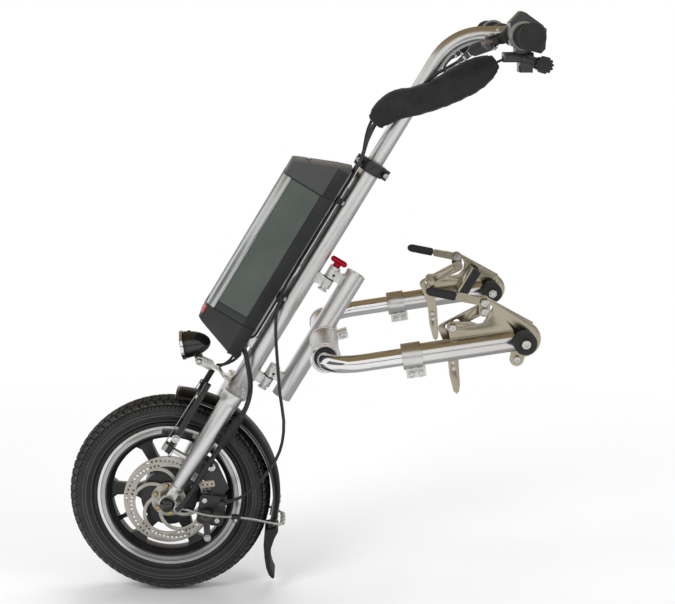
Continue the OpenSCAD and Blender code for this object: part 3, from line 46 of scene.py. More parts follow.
# Places that the pieces share with the CAD source, in millimetres and radians
AXLE = Vector((-200.44, 0.0, 158.5))
RAKE = radians(31.2)
FORK_OFFSET = 5.0
LEG_Y = 58.0
POST_V = 65.0
HINGE_V = 32.5
SLEEVE_V = 76.0
SLEEVE_W = 338.0
DOCK = Vector((43.94, 0.0, 405.65))
ARM_RISE = radians(8.5)
ARM_Y = 200.0
BAR = Vector((319.94, 0.0, 873.29))
DISPLAY = BAR + Vector((15.5, -149.0, 22.5))
DISPLAY_TILT = radians(35.0)
LEVER_DIP = radians(14.0)
CALIPER_AT = radians(-10.0)
LAMP_PITCH = radians(8.0)
LAMP_RISE = 27.0
# Low edges of the two hinge webs on the column
HINGES = (226.0, 408.0)
# Pivot studs of the rim brake
STUD_Y = 50.0
STUD_W = 76.0
# Points of a latch: along its arm, and up
LATCH_PIVOT = (236.5, 62.0)
LATCH_CRANK = (235.2, 49.0)
GUIDE_PIN = (187.0, 32.0)
ROLLER = (284.0, 0.0)
LUG = (272.0, -28.0)

# Directions for aim, and the two sides with the word in their pieces' names
X_POS = (1, 0, 0)
X_NEG = (-1, 0, 0)
Y_POS = (0, 1, 0)
Y_NEG = (0, -1, 0)
Z_POS = (0, 0, 1)
Z_NEG = (0, 0, -1)
SIDES = ((-1, "left"), (1, "right"))


def frame_matrix(origin, turn, flip=1):
    """Matrix from a local frame in millimetres, turned about Y, to metres."""
    spin = Matrix.Rotation(turn, 4, "Y")
    mirror = Matrix.Diagonal((1.0, flip, 1.0, 1.0))
    return Matrix.Diagonal((MM, MM, MM, 1.0)) @ Matrix.Translation(origin) @ spin @ mirror


WHEEL = frame_matrix(AXLE, 0.0)
COLUMN = frame_matrix(AXLE, RAKE) @ Matrix.Translation((FORK_OFFSET, 0.0, 0.0))
BARS = frame_matrix(BAR, 0.0)
CALIPER = frame_matrix(AXLE, -CALIPER_AT)
LAMP = frame_matrix(AXLE + Vector((49.0, 0.0, 214.0)), -LAMP_PITCH)


def arm_matrix(side):
    """Arm frame: x along the arm, y outwards from its axis, z up."""
    return frame_matrix(DOCK, -ARM_RISE, side) @ Matrix.Translation((0.0, ARM_Y, 0.0))


def mirrored(place, side):
    """Frame of a piece drawn on the left, for either side."""
    return place @ Matrix.Diagonal((1.0, float(-side), 1.0, 1.0))


def new_object(name, data):
    """Object in the scene's collection."""
    obj = bpy.data.objects.new(name, data)
    bpy.context.collection.objects.link(obj)
    return obj


# Camera

def make_camera():
    """Camera at the photograph's viewing angle, found from the wheel, the column and the arms."""
    data = bpy.data.cameras.new("camera")
    data.sensor_width = 36.0
    data.lens = 80.4
    obj = new_object("camera", data)
    obj.location = Vector((18.65, -2300.0, 907.36)) * MM
    obj.rotation_euler = (pi / 2 - 0.1905, 0.0, -0.0199)
    bpy.context.scene.camera = obj


make_camera()
bpy.context.scene.view_settings.view_transform = "Standard"


# Materials

TREAD_LAYER = "tread_level"


class Surface:
    """One node material, with short calls for the nodes that it needs."""

    def __init__(self, name):
        self.material = bpy.data.materials.new(name)
        self.material.use_nodes = True
        self.tree = self.material.node_tree
        self.shader = self.tree.nodes["Principled BSDF"]
        self.coord = self.tree.nodes.new("ShaderNodeTexCoord").outputs["Object"]

    def add(self, kind, **values):
        """Adds a node; values name its inputs, and sockets are linked."""
        node = self.tree.nodes.new(kind)
        for key, value in values.items():
            self.put(node.inputs[key.replace("_", " ")], value)
        return node

    def put(self, socket, value):
        if isinstance(value, bpy.types.NodeSocket):
            self.tree.links.new(value, socket)
        else:
            socket.default_value = value

    def set(self, **values):
        """Sets the shader's own sockets."""
        for key, value in values.items():
            self.put(self.shader.inputs[key.replace("_", " ")], value)

    def noise(self, scale, detail=4.0, rough=0.55, coord=None):
        node = self.add("ShaderNodeTexNoise", Scale=scale, Detail=detail, Roughness=rough,
                        Vector=coord or self.coord)
        return node.outputs["Fac"]

    def turned(self, turn, scale):
        """Object coordinates turned about Y and then scaled, for grain along a raked tube."""
        node = self.add("ShaderNodeMapping", Vector=self.coord, Rotation=(0.0, turn, 0.0),
                        Scale=[1.0 / s for s in scale])
        node.vector_type = "TEXTURE"
        return node.outputs["Vector"]

    def remap(self, value, low, high, to_low=0.0, to_high=1.0):
        node = self.add("ShaderNodeMapRange", Value=value, From_Min=low, From_Max=high,
                        To_Min=to_low, To_Max=to_high)
        return node.outputs["Result"]

    def cloud(self, scale, detail=4.0, low=0.0, high=1.0):
        """Soft noise stretched to a range."""
        return self.remap(self.noise(scale, detail), 0.3, 0.7, low, high)

    def math(self, kind, a, b=0.0):
        node = self.add("ShaderNodeMath")
        node.operation = kind
        self.put(node.inputs[0], a)
        self.put(node.inputs[1], b)
        return node.outputs[0]

    def times(self, a, b):
        return self.math("MULTIPLY", a, b)

    def vector_math(self, kind, a, b=None):
        """Node of one step on vectors, as its results differ in kind."""
        node = self.add("ShaderNodeVectorMath")
        node.operation = kind
        self.put(node.inputs[0], a)
        if b is not None:
            self.put(node.inputs[1], b)
        return node

    def mix(self, fac, a, b):
        """Colour between a and b."""
        node = self.add("ShaderNodeMix")
        node.data_type = "RGBA"
        self.put(node.inputs[0], fac)
        self.put(node.inputs[6], a)
        self.put(node.inputs[7], b)
        return node.outputs[2]

    def bump(self, height, strength, distance, normal=None):
        node = self.add("ShaderNodeBump", Strength=strength, Distance=distance, Height=height)
        if normal:
            self.put(node.inputs["Normal"], normal)
        return node.outputs["Normal"]

    def edges(self, radius=0.0012):
        """Mask that is 1 near sharp edges, broken up by noise."""
        bevel = self.add("ShaderNodeBevel", Radius=radius)
        bevel.samples = 4
        plain = self.add("ShaderNodeNewGeometry").outputs["Normal"]
        dot = self.vector_math("DOT_PRODUCT", bevel.outputs["Normal"], plain)
        worn = self.remap(dot.outputs["Value"], 0.99, 0.80)
        return self.times(worn, self.remap(self.noise(160.0), 0.42, 0.62))


def rgba(r, g, b):
    return (r, g, b, 1.0)


def grey(level):
    return rgba(level, level, level)


def metal(name, colour, rough, grain=(900.0, 900.0, 40.0), depth=0.00001, spread=0.03, tint=None, turn=RAKE):
    """Bare or plated metal: drawn grain along the part, softly clouded gloss and a faint tint."""
    s = Surface(name)
    shade = s.remap(s.noise(11.0, 3.0, 0.5), 0.3, 0.7)
    other = tint or tuple(c * 0.9 for c in colour)
    s.set(Base_Color=s.mix(shade, rgba(*other), rgba(*colour)), Metallic=1.0)
    fine = s.noise(1.0, 3.0, 0.6, s.turned(turn, grain))
    cloud = s.math("ADD", s.times(s.noise(18.0, 3.0), 0.6), s.times(fine, 0.4))
    s.set(Roughness=s.remap(cloud, 0.3, 0.7, rough - spread, rough + spread))
    s.set(Normal=s.bump(fine, 0.1, depth))
    return s.material


def polymer(name, colour, rough, grain, depth, strength, worn, coat=0.0, cloud=0.2, shine=0.5):
    """Moulded plastic or rubber: fine grain, uneven tone and pale scuffs along the edges."""
    s = Surface(name)
    pale = tuple(min(1.0, c * (1.0 + 2.2 * cloud) + 0.004) for c in colour)
    tone = s.remap(s.noise(26.0, 6.0, 0.62), 0.32, 0.72)
    base = s.mix(tone, rgba(*colour), rgba(*pale))
    base = s.mix(s.times(s.edges(), 0.4), base, worn)
    s.set(Base_Color=base, Specular_IOR_Level=shine)
    s.set(Roughness=s.cloud(55.0, 5.0, rough - 0.06, rough + 0.06))
    s.set(Normal=s.bump(s.noise(grain, 3.0, 0.6), strength, depth))
    if coat:
        s.set(Coat_Weight=coat, Coat_Roughness=0.12)
    return s.material


def coated(name, colour, rough):
    """Powder coat: orange-peel bump and chips down to metal along the edges."""
    s = Surface(name)
    tone = s.cloud(30.0, 5.0)
    dark = tuple(c * 0.72 for c in colour)
    chip = s.times(s.edges(0.0009), 0.5)
    base = s.mix(tone, rgba(*dark), rgba(*colour))
    s.set(Base_Color=s.mix(chip, base, rgba(0.32, 0.32, 0.33)), Metallic=s.times(chip, 0.8))
    s.set(Roughness=s.cloud(90.0, 4.0, rough - 0.06, rough + 0.08))
    peel = s.math("ADD", s.noise(520.0, 2.0), s.times(s.noise(2300.0, 2.0), 0.4))
    s.set(Normal=s.bump(peel, 0.2, 0.00008), Coat_Weight=0.15, Coat_Roughness=0.2)
    return s.material


def wheel_paint():
    """Cast wheel: black spokes and hub, with a turned silver ring on each side of the rim."""
    s = Surface("wheel_paint")
    offset = s.vector_math("SUBTRACT", s.coord, AXLE * MM)
    split = s.add("ShaderNodeSeparateXYZ", Vector=offset.outputs["Vector"])
    square = s.math("ADD", s.math("POWER", split.outputs["X"], 2.0), s.math("POWER", split.outputs["Z"], 2.0))
    radius = s.math("SQRT", square)
    wide = s.math("ABSOLUTE", split.outputs["Y"])
    ring = s.times(s.remap(radius, 0.1010, 0.1018), s.remap(wide, 0.0165, 0.0172))
    lines = s.add("ShaderNodeCombineXYZ", X=s.times(radius, 900.0)).outputs[0]
    turned = s.noise(1.0, 2.0, 0.5, lines)
    lip = s.remap(radius, 0.1082, 0.1090)
    score = s.times(s.remap(radius, 0.1072, 0.1076), s.remap(radius, 0.1086, 0.1082))
    tone = s.cloud(30.0, 5.0)
    black = s.mix(tone, rgba(0.012, 0.012, 0.014), rgba(0.022, 0.022, 0.025))
    black = s.mix(s.times(s.edges(0.0009), 0.35), black, rgba(0.2, 0.2, 0.21))
    inner = s.mix(s.noise(14.0, 3.0), rgba(0.40, 0.39, 0.38), rgba(0.47, 0.46, 0.45))
    silver = s.mix(lip, inner, rgba(0.74, 0.735, 0.72))
    silver = s.mix(s.times(score, 0.85), silver, grey(0.06))
    s.set(Base_Color=s.mix(ring, black, silver), Metallic=ring)
    gloss = s.cloud(80.0, 4.0, 0.3, 0.42)
    bright = s.remap(turned, 0.3, 0.7, 0.24, 0.32)
    s.set(Roughness=s.math("ADD", s.times(gloss, s.math("SUBTRACT", 1.0, ring)), s.times(bright, ring)))
    peel = s.bump(s.noise(520.0, 2.0), 0.18, 0.00008)
    s.set(Normal=s.bump(s.times(turned, ring), 0.1, 0.00003, peel))
    return s.material


def tyre_rubber():
    """Tyre: matt tread with painted shade in its grooves, dusty on its blocks; smoother sidewall with pale
    ribs.
    """
    s = Surface("tyre_rubber")
    layer = s.add("ShaderNodeVertexColor")
    layer.layer_name = TREAD_LAYER
    split = s.add("ShaderNodeSeparateColor", Color=layer.outputs["Color"])
    dust = s.remap(s.noise(38.0, 8.0, 0.7), 0.40, 0.72)
    tread = s.mix(dust, grey(0.018), rgba(0.046, 0.045, 0.043))
    wall = s.mix(dust, grey(0.011), rgba(0.021, 0.021, 0.020))
    top = s.mix(split.outputs["Blue"], tread, wall)
    top = s.mix(split.outputs["Green"], top, rgba(0.16, 0.16, 0.155))
    # Painted shade: outside the block tops' share (the layer's red) the grooves are near black.
    s.set(Base_Color=s.mix(split.outputs["Red"], grey(0.003), top))
    rough = s.cloud(70.0, 5.0, 0.5, 0.68)
    s.set(Roughness=s.math("SUBTRACT", rough, s.times(split.outputs["Blue"], 0.16)))
    s.set(Normal=s.bump(s.noise(1700.0, 3.0), 0.3, 0.00008), Specular_IOR_Level=0.4)
    return s.material


def neoprene():
    """Knitted face of the neoprene sleeve: staggered stitches, matt, with a soft sheen."""
    s = Surface("neoprene")
    grid = s.turned(RAKE, (1250.0, 1250.0, 1250.0))
    knit = s.add("ShaderNodeTexVoronoi", Vector=grid, Scale=1.0, Randomness=0.35)
    stitch = s.remap(knit.outputs["Distance"], 0.0, 0.75, 1.0, 0.0)
    tone = s.cloud(42.0, 6.0)
    base = s.mix(tone, rgba(0.010, 0.010, 0.011), rgba(0.024, 0.024, 0.026))
    s.set(Base_Color=s.mix(s.times(stitch, 0.35), base, rgba(0.034, 0.034, 0.037)))
    s.set(Roughness=s.cloud(60.0, 4.0, 0.82, 0.95), Sheen_Weight=0.25, Sheen_Roughness=0.4)
    soft = s.bump(s.noise(75.0, 5.0), 0.3, 0.0011)
    s.set(Normal=s.bump(stitch, 0.5, 0.00022, soft))
    return s.material


def clear_lens():
    """Clear moulded lens, very slightly uneven."""
    s = Surface("lens_clear")
    s.set(Base_Color=s.mix(s.noise(40.0), rgba(0.95, 0.97, 0.98), rgba(0.9975, 1.0, 1.0)))
    s.set(Transmission_Weight=1.0, IOR=1.49, Roughness=s.cloud(200.0, 4.0, 0.03, 0.08))
    s.set(Normal=s.bump(s.noise(90.0, 2.0), 0.08, 0.0002))
    return s.material


def display_glass():
    """Dark display glass with a pale field and a few plain bars."""
    s = Surface("display_glass")
    local = s.add("ShaderNodeMapping", Vector=s.coord, Location=DISPLAY * MM,
                  Rotation=(0.0, DISPLAY_TILT, 0.0))
    local.vector_type = "TEXTURE"
    split = s.add("ShaderNodeSeparateXYZ", Vector=local.outputs["Vector"])
    across = split.outputs["X"]
    along = split.outputs["Y"]

    def band(value, low, high):
        soft = 0.00025
        return s.times(s.remap(value, low - soft, low + soft), s.remap(value, high + soft, high - soft))

    field = s.times(band(across, -0.0105, 0.0105), band(along, -0.0125, 0.0125))
    bars = None
    for k in range(5):
        y = -0.0095 + 0.0042 * k
        one = s.times(band(along, y, y + 0.0028), band(across, 0.0075 - 0.002 * k, 0.0088))
        bars = s.math("MAXIMUM", bars, one) if bars else one
    base = s.mix(field, rgba(0.006, 0.006, 0.007), rgba(0.10, 0.115, 0.11))
    base = s.mix(s.times(bars, 0.85), base, rgba(0.012, 0.014, 0.013))
    s.set(Base_Color=base, Roughness=s.cloud(300.0, 4.0, 0.06, 0.14))
    s.set(Coat_Weight=0.6, Coat_Roughness=0.04, Normal=s.bump(s.noise(60.0), 0.03, 0.0002))
    return s.material


SILVER = metal("silver_tube", (0.74, 0.74, 0.735), 0.34, tint=(0.68, 0.68, 0.67))
ARM_SILVER = metal("arm_silver", (0.70, 0.695, 0.68), 0.22, (40.0, 900.0, 900.0), tint=(0.63, 0.62, 0.60),
                   turn=-ARM_RISE)
COLLAR = metal("collar_silver", (0.68, 0.67, 0.65), 0.30, (500.0, 60.0, 500.0), 0.00002,
               tint=(0.60, 0.59, 0.57), turn=-ARM_RISE)
CHROME = metal("chrome", (0.82, 0.82, 0.83), 0.06, (300.0, 300.0, 300.0), 0.000003, 0.02,
               (0.77, 0.765, 0.75), 0.0)
PLATED = metal("plated", (0.47, 0.425, 0.33), 0.24, (90.0, 500.0, 420.0), 0.000006, 0.03,
               (0.35, 0.31, 0.235), 0.3)
# Bright metal for the battery's rounded front corners: a painted highlight standing in for the corner's
# reflection
PAINTED_CORNER_HIGHLIGHT = metal("corner_highlight_metal", (0.60, 0.615, 0.61), 0.30, (500.0, 500.0, 60.0), tint=(0.52, 0.535, 0.53))
# Grain across the ground faces of small steel parts
GROUND = (700.0, 60.0, 700.0)
STEEL = metal("ground_steel", (0.62, 0.615, 0.60), 0.26, GROUND, 0.00002, 0.05, None, 0.0)
BRASS = metal("brass", (0.52, 0.40, 0.20), 0.28, GROUND, 0.00002, 0.05, (0.40, 0.30, 0.14), 0.0)
PAD_PLATE = metal("pad_plate", (0.50, 0.455, 0.36), 0.36, (600.0, 60.0, 600.0), 0.00002, 0.04,
                  (0.42, 0.38, 0.30), 0.0)
ROTOR = metal("rotor_steel", (0.50, 0.475, 0.43), 0.33, (900.0, 60.0, 900.0), 0.00002, 0.05,
              (0.40, 0.38, 0.335), 0.0)
RED_METAL = metal("red_anodised", (0.52, 0.012, 0.03), 0.26, (600.0, 600.0, 600.0), 0.00002, 0.05,
                  (0.38, 0.008, 0.02), 0.0)
WINDING = metal("winding", (0.72, 0.35, 0.14), 0.3, (2400.0, 200.0, 2400.0), 0.0002, 0.08, None, 0.0)
CAST_BLACK = coated("cast_black", (0.016, 0.016, 0.017), 0.34)
GRAPHITE = coated("graphite_coat", (0.042, 0.042, 0.045), 0.38)
TYRE = tyre_rubber()
RUBBER = polymer("soft_rubber", (0.014, 0.014, 0.015), 0.6, 1700.0, 0.00008, 0.4, grey(0.06), shine=0.35)
PLASTIC = polymer("black_plastic", (0.012, 0.012, 0.013), 0.36, 1500.0, 0.00006, 0.3, grey(0.07), shine=0.4)
GUARD = polymer("guard_black", (0.004, 0.004, 0.0045), 0.34, 1200.0, 0.00002, 0.15, grey(0.02),
                0.0, 0.1, 0.06)
GLOSS = polymer("gloss_plastic", (0.006, 0.006, 0.007), 0.14, 900.0, 0.00002, 0.15, grey(0.06), 0.4, 0.1)
CONTROL = polymer("control_plastic", (0.020, 0.021, 0.021), 0.24, 1300.0, 0.00005, 0.3, grey(0.09))
COLLAR_GREY = polymer("grip_grey", (0.16, 0.16, 0.152), 0.40, 1500.0, 0.00006, 0.3, rgba(0.3, 0.3, 0.29),
                      0.0, 0.1)
DARK = polymer("dark_plastic", (0.026, 0.028, 0.028), 0.42, 1300.0, 0.00007, 0.35, grey(0.10), shine=0.35)
CAP = polymer("cap_plastic", (0.060, 0.061, 0.061), 0.46, 1300.0, 0.00007, 0.35, grey(0.16), 0.0, 0.08, 0.35)
BASE = polymer("base_plastic", (0.028, 0.029, 0.029), 0.44, 1300.0, 0.00007, 0.35, grey(0.10), 0.0, 0.1, 0.35)
PANEL = polymer("battery_panel", (0.070, 0.084, 0.074), 0.34, 1500.0, 0.00005, 0.3, rgba(0.17, 0.19, 0.17),
                0.1, 0.08, 0.35)
CASE = polymer("battery_shell", (0.017, 0.018, 0.018), 0.38, 1500.0, 0.00005, 0.3, grey(0.08), 0.0, 0.1, 0.35)
JACKET = polymer("cable_jacket", (0.011, 0.011, 0.012), 0.36, 1100.0, 0.00005, 0.3, grey(0.05))
NEOPRENE = neoprene()
LENS = clear_lens()
RED_PLASTIC = polymer("red_plastic", (0.50, 0.02, 0.02), 0.24, 1200.0, 0.00003, 0.2, rgba(0.6, 0.2, 0.18),
                      0.4, 0.05)
BOARD = polymer("board", (0.01, 0.11, 0.04), 0.35, 600.0, 0.0001, 0.4, rgba(0.4, 0.35, 0.1), 0.3)
CELLS = polymer("cell_wrap", (0.03, 0.09, 0.30), 0.3, 400.0, 0.0001, 0.3, rgba(0.1, 0.2, 0.5), 0.3)
WHEEL_PAINT = wheel_paint()


def pairs(*names):
    """Left and right node of each name."""
    return [name + "_" + word for name in names for _, word in SIDES]


FINISH = {
    SILVER: ["fork_legs", "fork_crown", "column_tube", "post_tube", "hinge_pins", "battery_rail",
             "stem_tube"],
    ARM_SILVER: pairs("arm_tube"),
    COLLAR: pairs("arm_collar"),
    CHROME: ["dock_bar"],
    PLATED: pairs("latch_plate", "latch_lever", "latch_hook"),
    ROTOR: ["brake_rotor"],
    STEEL: ["rotor_bolts", "wheel_axle", "guard_stay", "headlight_bracket", "wheel_bearings", "magnet_ring"],
    RED_METAL: ["lock_handle"],
    WINDING: ["motor_stator"],
    WHEEL_PAINT: ["wheel_casting"],
    CAST_BLACK: ["disc_caliper", "stem_clamp", "lever_perches"] + pairs("rim_brake_arm"),
    GRAPHITE: ["motor_cover", "caliper_arm"] + pairs("brake_lever"),
    TYRE: ["tyre", "inner_tube"],
    RUBBER: ["hand_grips", "mud_flap"] + pairs("dock_rubber", "lever_grip"),
    PLASTIC: ["throttle"],
    GUARD: ["mudguard"],
    CAP: ["battery_cap"],
    BASE: ["battery_base"],
    GLOSS: ["headlight_shell", "axle_nuts"],
    CONTROL: ["control_unit"],
    CASE: ["battery_case"],
    JACKET: ["brake_cables", "wiring"],
    NEOPRENE: ["cable_sleeve"],
    LENS: ["headlight_lens"],
    RED_PLASTIC: ["power_button"],
    BOARD: ["controller_board"],
    CELLS: ["battery_cells"],
}
# Nodes whose form is all curves, which need no rounded edges
NO_BEVEL = {"brake_cables", "wiring", "guard_stay", "cable_sleeve", "inner_tube", "tyre", "headlight_lens"}
# Material slot of a new piece, where its call names no other; piece() looks it up but gives it to nothing
SLOTS = {
    SILVER: "silver_frame", CHROME: "chrome_bar", STEEL: "bright_steel", BRASS: "bright_steel",
    PAD_PLATE: "bright_steel", CAST_BLACK: "black_casting", GRAPHITE: "black_casting", TYRE: "tyre_rubber",
    RUBBER: "soft_rubber", PLASTIC: "black_plastic", GLOSS: "black_plastic", COLLAR_GREY: "dark_plastic",
    DARK: "dark_plastic", CASE: "dark_plastic", PANEL: "battery_grey", PAINTED_CORNER_HIGHLIGHT: "battery_grey",
    LENS: "lens_clear", RED_PLASTIC: "red_plastic",
}


def smooth_group(angle):
    """Geometry nodes that shade smooth, except across edges sharper than the angle."""
    group = bpy.data.node_groups.new("smooth_by_angle", "GeometryNodeTree")
    for way in ("INPUT", "OUTPUT"):
        group.interface.new_socket("Geometry", in_out=way, socket_type="NodeSocketGeometry")
    start = group.nodes.new("NodeGroupInput")
    end = group.nodes.new("NodeGroupOutput")
    bare = group.nodes.new("GeometryNodeRemoveAttribute")
    bare.inputs["Name"].default_value = "custom_normal"
    faces = group.nodes.new("GeometryNodeSetShadeSmooth")
    edges = group.nodes.new("GeometryNodeSetShadeSmooth")
    edges.domain = "EDGE"
    corner = group.nodes.new("GeometryNodeInputMeshEdgeAngle")
    limit = group.nodes.new("FunctionNodeCompare")
    limit.operation = "LESS_THAN"
    limit.inputs[1].default_value = angle
    group.links.new(corner.outputs["Unsigned Angle"], limit.inputs[0])
    group.links.new(start.outputs[0], bare.inputs[0])
    group.links.new(bare.outputs[0], faces.inputs["Geometry"])
    group.links.new(faces.outputs[0], edges.inputs["Geometry"])
    group.links.new(limit.outputs[0], edges.inputs["Shade Smooth"])
    group.links.new(edges.outputs[0], end.inputs[0])
    return group


SMOOTH = smooth_group(radians(32.0))
BEVEL_ANGLE = radians(34.0)


def round_edges(obj, width):
    """Rounds an object's sharp edges and shades the rest smooth."""
    if width:
        bevel = obj.modifiers.new("bevel", "BEVEL")
        bevel.width = width
        bevel.segments = 2
        bevel.limit_method = "ANGLE"
        bevel.angle_limit = BEVEL_ANGLE
    obj.modifiers.new("smooth", "NODES").node_group = SMOOTH


def finish_nodes():
    """Gives each CAD node its material, merges its split faces and rounds its edges."""
    for material, names in FINISH.items():
        for name in names:
            node = NODES[name]
            node.data.materials.clear()
            node.data.materials.append(material)
            weld = node.modifiers.new("weld", "WELD")
            weld.merge_threshold = 0.000008
            planar = node.modifiers.new("planar", "DECIMATE")
            planar.decimate_type = "DISSOLVE"
            planar.angle_limit = radians(0.6)
            round_edges(node, 0.0 if name in NO_BEVEL else 0.0005)


finish_nodes()


# Mesh building

def angles(n):
    """Full turn in n equal steps."""
    return [tau * k / n for k in range(n)]


def circle(r, n, z=0.0):
    """Ring of n points about z."""
    return [Vector((r * cos(a), r * sin(a), z)) for a in angles(n)]


def hexagon(r, n, z):
    """Ring of n points along a hexagon whose flats are r from its middle."""
    points = []
    for a in angles(n):
        reach = r / cos((a + pi / 6) % (pi / 3) - pi / 6)
        points.append(Vector((reach * cos(a), reach * sin(a), z)))
    return points


def knurled(r, tooth, n):
    """Ring of n points that step in and out."""
    return [Vector(((r + tooth * (k % 2)) * cos(a), (r + tooth * (k % 2)) * sin(a), 0.0))
            for k, a in enumerate(angles(n))]


def rounded(w, h, r, steps=6):
    """Closed outline of a rounded rectangle about the origin."""
    points = []
    for cx, cy, a0 in ((1, 1, 0.0), (-1, 1, 90.0), (-1, -1, 180.0), (1, -1, 270.0)):
        for k in range(steps + 1):
            a = radians(a0 + 90.0 * k / steps)
            points.append((cx * (w / 2 - r) + r * cos(a), cy * (h / 2 - r) + r * sin(a)))
    return points


def smooth_path(points, steps):
    """Catmull-Rom curve through points."""
    pts = [Vector(p) for p in points]
    last = len(pts) - 1
    out = []
    for i in range(last):
        a = pts[i - 1] if i else 2 * pts[0] - pts[1]
        b = pts[i]
        c = pts[i + 1]
        d = pts[i + 2] if i < last - 1 else 2 * pts[last] - pts[last - 1]
        for k in range(steps):
            t = k / steps
            out.append(0.5 * (2 * b + (c - a) * t + (2 * a - 5 * b + 4 * c - d) * t * t
                              + (3 * b - a - 3 * c + d) * t ** 3))
    out.append(pts[last])
    return out


def aim(place, at, axis=Z_POS):
    """Matrix that stands local z along an axis at a point of a frame."""
    turn = Vector(Z_POS).rotation_difference(Vector(axis).normalized()).to_matrix().to_4x4()
    return place @ Matrix.Translation(at) @ turn


class Shape:
    """Faces of one piece, given in millimetres in any local frame."""

    def __init__(self):
        self.bm = bmesh.new()

    def skin(self, rings, place, loop=False, caps=True, around=True):
        """Faces between rings of equal count, with closed ends."""
        made = [[self.bm.verts.new(place @ p) for p in ring] for ring in rings]
        count = len(made[0])
        pairs = list(zip(made, made[1:]))
        if loop:
            pairs.append((made[-1], made[0]))
        for low, high in pairs:
            for k in range(count if around else count - 1):
                j = (k + 1) % count
                self.bm.faces.new((low[k], low[j], high[j], high[k]))
        if caps and not loop:
            self.bm.faces.new(list(reversed(made[0])))
            self.bm.faces.new(made[-1])
        return self

    def lathe(self, profile, place, n):
        """Closed solid of revolution about z from (radius, z) pairs."""
        return self.skin([circle(max(r, 0.02), n, z) for r, z in profile], place)

    def ring(self, profile, place, n, loop=True):
        """Closed ring about z from (radius, z) pairs, or an open bowl."""
        return self.skin([circle(r, n, z) for r, z in profile], place, loop, caps=False)

    def prism(self, outline, z0, z1, place, soft=0.0):
        """Extruded outline, with its top edge drawn in when soft."""
        low = [Vector((x, y, z0)) for x, y in outline]
        if not soft:
            return self.skin([low, [Vector((x, y, z1)) for x, y in outline]], place)
        cx = sum(x for x, y in outline) / len(outline)
        cy = sum(y for x, y in outline) / len(outline)
        wide = max(abs(x - cx) for x, y in outline)
        high = max(abs(y - cy) for x, y in outline)

        def inset(g, z):
            return [Vector((cx + (x - cx) * (1 - g / wide), cy + (y - cy) * (1 - g / high), z))
                    for x, y in outline]

        return self.skin([low, inset(0.0, z1 - soft), inset(0.3 * soft, z1 - 0.3 * soft), inset(soft, z1)],
                         place)

    def tube(self, path, radius, place, n=10, loop=False):
        """Round tube along points; radius may be a call of the step."""
        pts = [Vector(p) for p in path]
        rings = []
        count = len(pts)
        normal = None
        for i, p in enumerate(pts):
            before = pts[(i - 1) % count] if loop or i else p
            after = pts[(i + 1) % count] if loop or i < count - 1 else p
            t = (after - before).normalized()
            if normal is None:
                normal = t.orthogonal().normalized()
            normal = (normal - t * normal.dot(t)).normalized()
            other = t.cross(normal)
            r = radius(i) if callable(radius) else radius
            rings.append([p + r * (cos(a) * normal + sin(a) * other) for a in angles(n)])
        return self.skin(rings, place, loop)

    def strap(self, ends, low, high, thick, place):
        """Flat band drawn round two circles, each given as its middle and radius."""
        (p, r), (q, s) = ends
        gap = 0.1
        steps = 14
        along = atan2(q.y - p.y, q.x - p.x)
        lean = acos((r - s) / (q - p).length)
        rings = []
        for middle, radius, a0, a1 in ((p, r, along + lean, along + tau - lean),
                                       (q, s, along - lean, along + lean)):
            for k in range(steps + 1):
                a = a0 + (a1 - a0) * k / steps
                out = Vector((cos(a), sin(a)))
                near = middle + out * (radius + gap)
                far = middle + out * (radius + gap + thick)
                rings.append([Vector((*edge, z)) for edge, z in (
                    (near, low), (far, low), (far, high), (near, high))])
        return self.skin(rings, place, loop=True)

    def bead(self, path, r):
        """Closed weld bead with overlapped ripples, along points of the column's frame."""
        return self.tube(path, lambda i: r * (0.86 + 0.2 * abs(sin(i * 0.55))), COLUMN, 8, True)

    def socket_bolt(self, place, r, h):
        """Cap screw with a hexagon socket, standing on local z = 0."""
        n = 24
        return self.skin([
            circle(r, n, 0.0), circle(r, n, h - 0.5), circle(r - 0.5, n, h), hexagon(r * 0.52, n, h),
            hexagon(r * 0.5, n, h * 0.45), circle(0.05, n, h * 0.4)], place)

    def button_bolt(self, place, r, h):
        """Domed screw with a hexagon socket."""
        n = 24
        return self.skin([
            circle(r, n, 0.0), circle(r * 0.97, n, h * 0.3), circle(r * 0.82, n, h * 0.72),
            circle(r * 0.6, n, h), hexagon(r * 0.42, n, h), hexagon(r * 0.4, n, h * 0.4),
            circle(0.05, n, h * 0.35)], place)

    def nut(self, place, flat, h, hole=2.5):
        """Hexagon nut with a chamfer and a thread end."""
        n = 24
        return self.skin([
            hexagon(flat, n, 0.0), hexagon(flat, n, h - 0.7), circle(flat * 0.97, n, h),
            circle(hole + 0.3, n, h), circle(hole, n, h - 0.6), circle(hole, n, h + 0.9),
            circle(hole - 0.5, n, h + 1.3)], place)

    def washer(self, place, r, hole, t):
        """Flat washer of thickness t."""
        profile = [(hole, t), (r - 0.2, t), (r, t - 0.2), (r, 0.0), (hole, 0.0)]
        return self.ring(profile, place, 32, loop=False)

    def object(self, name):
        """Turns the faces into an object."""
        bmesh.ops.recalc_face_normals(self.bm, faces=self.bm.faces)
        mesh = bpy.data.meshes.new(name)
        self.bm.to_mesh(mesh)
        self.bm.free()
        return new_object(name, mesh)

    def piece(self, name, material, body="front_frame", slot=None, bevel=0.0):
        """Makes the object, shades it and lets it ride on a body."""
        obj = self.object(name)
        obj.data.materials.append(material)
        round_edges(obj, bevel)
        slot = slot or SLOTS[material]
        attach(obj, body)
        return obj


# Wheel

# Section of the tyre: an ellipse about a circle, with arcs measured along its face
TYRE_MIDDLE = 134.0
TYRE_HIGH = 24.5
TYRE_HALF = 28.5
ARC_R = 27.0
TREAD_R = 146.0
BEAD_ANGLE = 146.0
# Length and width of a tread block with its groove
BLOCK = 12.74
ROW = 10.2
# Arc places of the ribs on the tyre's sidewall
SIDE_RIBS = (40.0, 45.5, 56.0)


def step(value, low, high):
    """Smooth rise from 0 at low to 1 at high."""
    t = min(1.0, max(0.0, (value - low) / (high - low)))
    return t * t * (3 - 2 * t)


